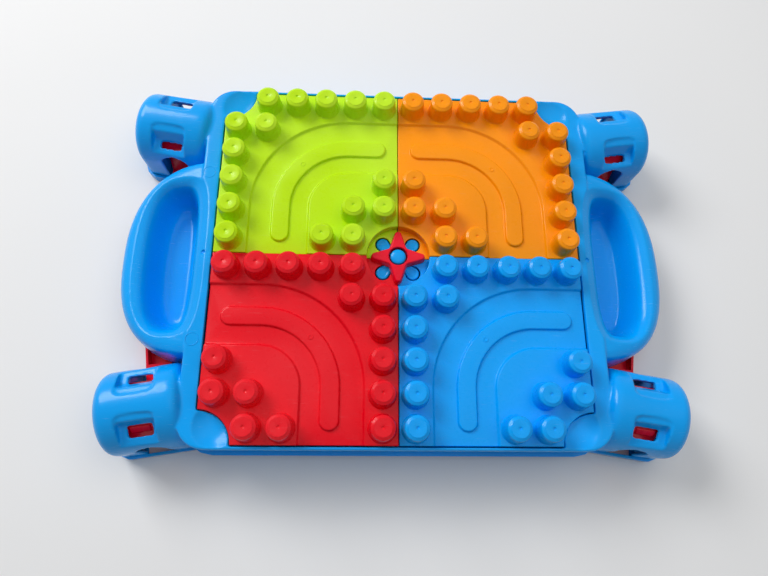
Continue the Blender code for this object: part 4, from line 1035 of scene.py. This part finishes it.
def floor_material(colour):
    """Matt pale floor that evens out far away and is clear from below."""
    material = bpy.data.materials.new("pale_floor")
    material.use_nodes = True
    tree = material.node_tree
    shader = tree.nodes["Principled BSDF"]
    coordinates = tree.nodes.new("ShaderNodeTexCoord").outputs["Object"]
    mottle = noise(tree, 3.0, 2.0, coordinates).outputs["Fac"]
    tint = mix_colour(tree, ramp(tree, mottle, 0.3, 0.7), (*colour, 1.0),
                      (colour[0] * 0.985, colour[1] * 0.985, colour[2] * 0.985, 1.0))
    tree.links.new(tint, shader.inputs["Base Color"])
    shader.inputs["Roughness"].default_value = 0.85
    glow = tree.nodes.new("ShaderNodeEmission")
    glow.inputs["Color"].default_value = (*colour, 1.0)
    reach = tree.nodes.new("ShaderNodeVectorMath")
    reach.operation = "LENGTH"
    tree.links.new(coordinates, reach.inputs[0])
    far = math_node(tree, "MULTIPLY", ramp(tree, reach.outputs["Value"], *FLOOR_FADE),
                    seen_directly(tree))
    blend = tree.nodes.new("ShaderNodeMixShader")
    tree.links.new(far, blend.inputs["Fac"])
    tree.links.new(shader.outputs["BSDF"], blend.inputs[1])
    tree.links.new(glow.outputs["Emission"], blend.inputs[2])
    # Clear from below, so that the underside can be looked at.
    clear = tree.nodes.new("ShaderNodeBsdfTransparent")
    sided = tree.nodes.new("ShaderNodeMixShader")
    tree.links.new(tree.nodes.new("ShaderNodeNewGeometry").outputs["Backfacing"],
                   sided.inputs["Fac"])
    tree.links.new(blend.outputs["Shader"], sided.inputs[1])
    tree.links.new(clear.outputs["BSDF"], sided.inputs[2])
    tree.links.new(sided.outputs["Shader"], tree.nodes["Material Output"].inputs["Surface"])
    return material


def seen_directly(tree):
    """One on camera, glossy and transmission rays, zero on the rays that light the object."""
    path = tree.nodes.new("ShaderNodeLightPath")
    seen = math_node(tree, "MAXIMUM", path.outputs["Is Camera Ray"], path.outputs["Is Glossy Ray"])
    return math_node(tree, "MAXIMUM", seen, path.outputs["Is Transmission Ray"])


def room_world(strength, backdrop):
    """Soft light from all round, with a pale backdrop where it is seen."""
    world = bpy.data.worlds.new("soft_room")
    world.use_nodes = True
    tree = world.node_tree
    background = tree.nodes["Background"]
    background.inputs["Color"].default_value = (*ROOM_COLOUR, 1.0)
    level = ramp(tree, seen_directly(tree), 0.0, 1.0, strength, backdrop)
    tree.links.new(level, background.inputs["Strength"])
    return world


class SCENE_OT_stage(bpy.types.Operator):
    """Lay the floor, hang the lamps and stand the camera"""
    bl_idname = "block_table.stage"
    bl_label = "Stage"

    def execute(self, context):
        props = context.scene.block_table
        clear_selection()
        bpy.ops.mesh.primitive_plane_add(size=FLOOR_SPAN, location=(0.0, 0.0, -FLOOR_GAP))
        floor = context.object
        floor.name = "floor"
        floor.data.materials.append(floor_material(props.floor_colour))
        area_lamp("window_light", WINDOW_PLACE, (0.0, 0.0, 0.05), WINDOW_SIZE, props.key_power)
        room = area_lamp("room_light", ROOM_PLACE, (0.0, 0.0, 0.0), ROOM_SIZE, props.fill_power)
        room.visible_glossy = False
        context.scene.world = room_world(props.world_strength, props.backdrop)
        data = bpy.data.cameras.new("photo_view")
        data.sensor_width = CAMERA_SENSOR
        data.lens = CAMERA_LENS
        data.clip_start = 0.01
        camera = bpy.data.objects.new("photo_view", data)
        context.scene.collection.objects.link(camera)
        camera.location = CAMERA_PLACE
        camera.rotation_euler = [math.radians(turn) for turn in CAMERA_TURN_DEG]
        context.scene.camera = camera
        context.scene.view_settings.view_transform = "Standard"
        return {"FINISHED"}


class SCENE_OT_finishes(bpy.types.Operator):
    """Mix the plastics and the plated steel"""
    bl_idname = "block_table.finishes"
    bl_label = "Finishes"

    def execute(self, context):
        props = context.scene.block_table
        MATERIALS["body"] = moulded_plastic("blue_body", props.body_colour, roughness=0.22,
                                            wear=0.35, coat=0.12)
        MATERIALS["moulding"] = moulded_plastic("red_moulding", props.moulding_colour,
                                                roughness=0.24, wear=0.3, coat=0.12)
        for name in ("lime", "orange", "red", "blue"):
            MATERIALS[name] = moulded_plastic(name + "_plate", getattr(props, name + "_colour"),
                                              roughness=0.26, wear=0.4, coat=0.1)
        MATERIALS["steel"] = plated_steel("plated_steel", (0.56, 0.57, 0.58))
        return {"FINISHED"}


def colour_property(name, description, default):
    """A colour field."""
    return FloatVectorProperty(name=name, description=description, subtype="COLOR", size=3,
                               min=0.0, max=1.0, default=default)


class BlockTableSettings(bpy.types.PropertyGroup):
    """Sizes, colours and lamp powers of the table"""
    stud_radius: FloatProperty(name="Stud radius", description="Radius of a stud at its foot",
                               default=0.0132, unit="LENGTH")
    stud_sides: IntProperty(name="Stud sides", description="Facets round a stud", default=48)
    edge_round: FloatProperty(name="Edge rounding", description="Rounding of the plate's edges",
                              default=0.0009, unit="LENGTH")
    skin_step: FloatProperty(name="Frame mesh step", description="Grid size of the frame's skin",
                             default=0.00124, unit="LENGTH")
    skin_rounding: IntProperty(name="Frame rounding", description="Smoothing passes on the frame",
                               default=4)
    body_colour: colour_property("Body", "Blue of the frame and shell", (0.0, 0.345, 0.875))
    moulding_colour: colour_property("Mouldings", "Red of the knob and legs", (0.80, 0.01, 0.03))
    lime_colour: colour_property("Lime plate", "Colour of the far left plate", (0.50, 0.78, 0.02))
    orange_colour: colour_property("Orange plate", "Colour of the far right plate",
                                   (0.92, 0.29, 0.002))
    red_colour: colour_property("Red plate", "Colour of the near left plate", (0.78, 0.01, 0.02))
    blue_colour: colour_property("Blue plate", "Colour of the near right plate",
                                 (0.0, 0.34, 0.88))
    floor_colour: colour_property("Floor", "Colour of the floor", (0.80, 0.80, 0.80))
    key_power: FloatProperty(name="Window light", description="Power of the far left lamp",
                             default=62.0, unit="POWER")
    fill_power: FloatProperty(name="Room light", description="Power of the overhead lamp",
                              default=20.0, unit="POWER")
    world_strength: FloatProperty(name="Room glow", description="Strength of the world light",
                                  default=0.2)
    backdrop: FloatProperty(name="Backdrop", description="Brightness of the world where it is seen",
                            default=0.78)


OPERATORS = (SCENE_OT_finishes, SCENE_OT_stud_plates, SCENE_OT_top_frame, SCENE_OT_centre_lock,
             SCENE_OT_rail_marks, SCENE_OT_carried_nodes, SCENE_OT_stage)


class VIEW3D_PT_block_table(bpy.types.Panel):
    """Lists the pieces of the table"""
    bl_label = "Block table"
    bl_space_type = "VIEW_3D"
    bl_region_type = "UI"
    bl_category = "Block table"

    def draw(self, context):
        for operator in OPERATORS:
            self.layout.operator(operator.bl_idname)


def register():
    for item in (BlockTableSettings, *OPERATORS, VIEW3D_PT_block_table):
        bpy.utils.register_class(item)
    bpy.types.Scene.block_table = PointerProperty(type=BlockTableSettings)


def unregister():
    del bpy.types.Scene.block_table
    for item in reversed((BlockTableSettings, *OPERATORS, VIEW3D_PT_block_table)):
        bpy.utils.unregister_class(item)


def main():
    """Register the add-on and run its operators in order."""
    register()
    for operator in OPERATORS:
        group, name = operator.bl_idname.split(".")
        getattr(getattr(bpy.ops, group), name)()


if __name__ == "__main__":
    main()
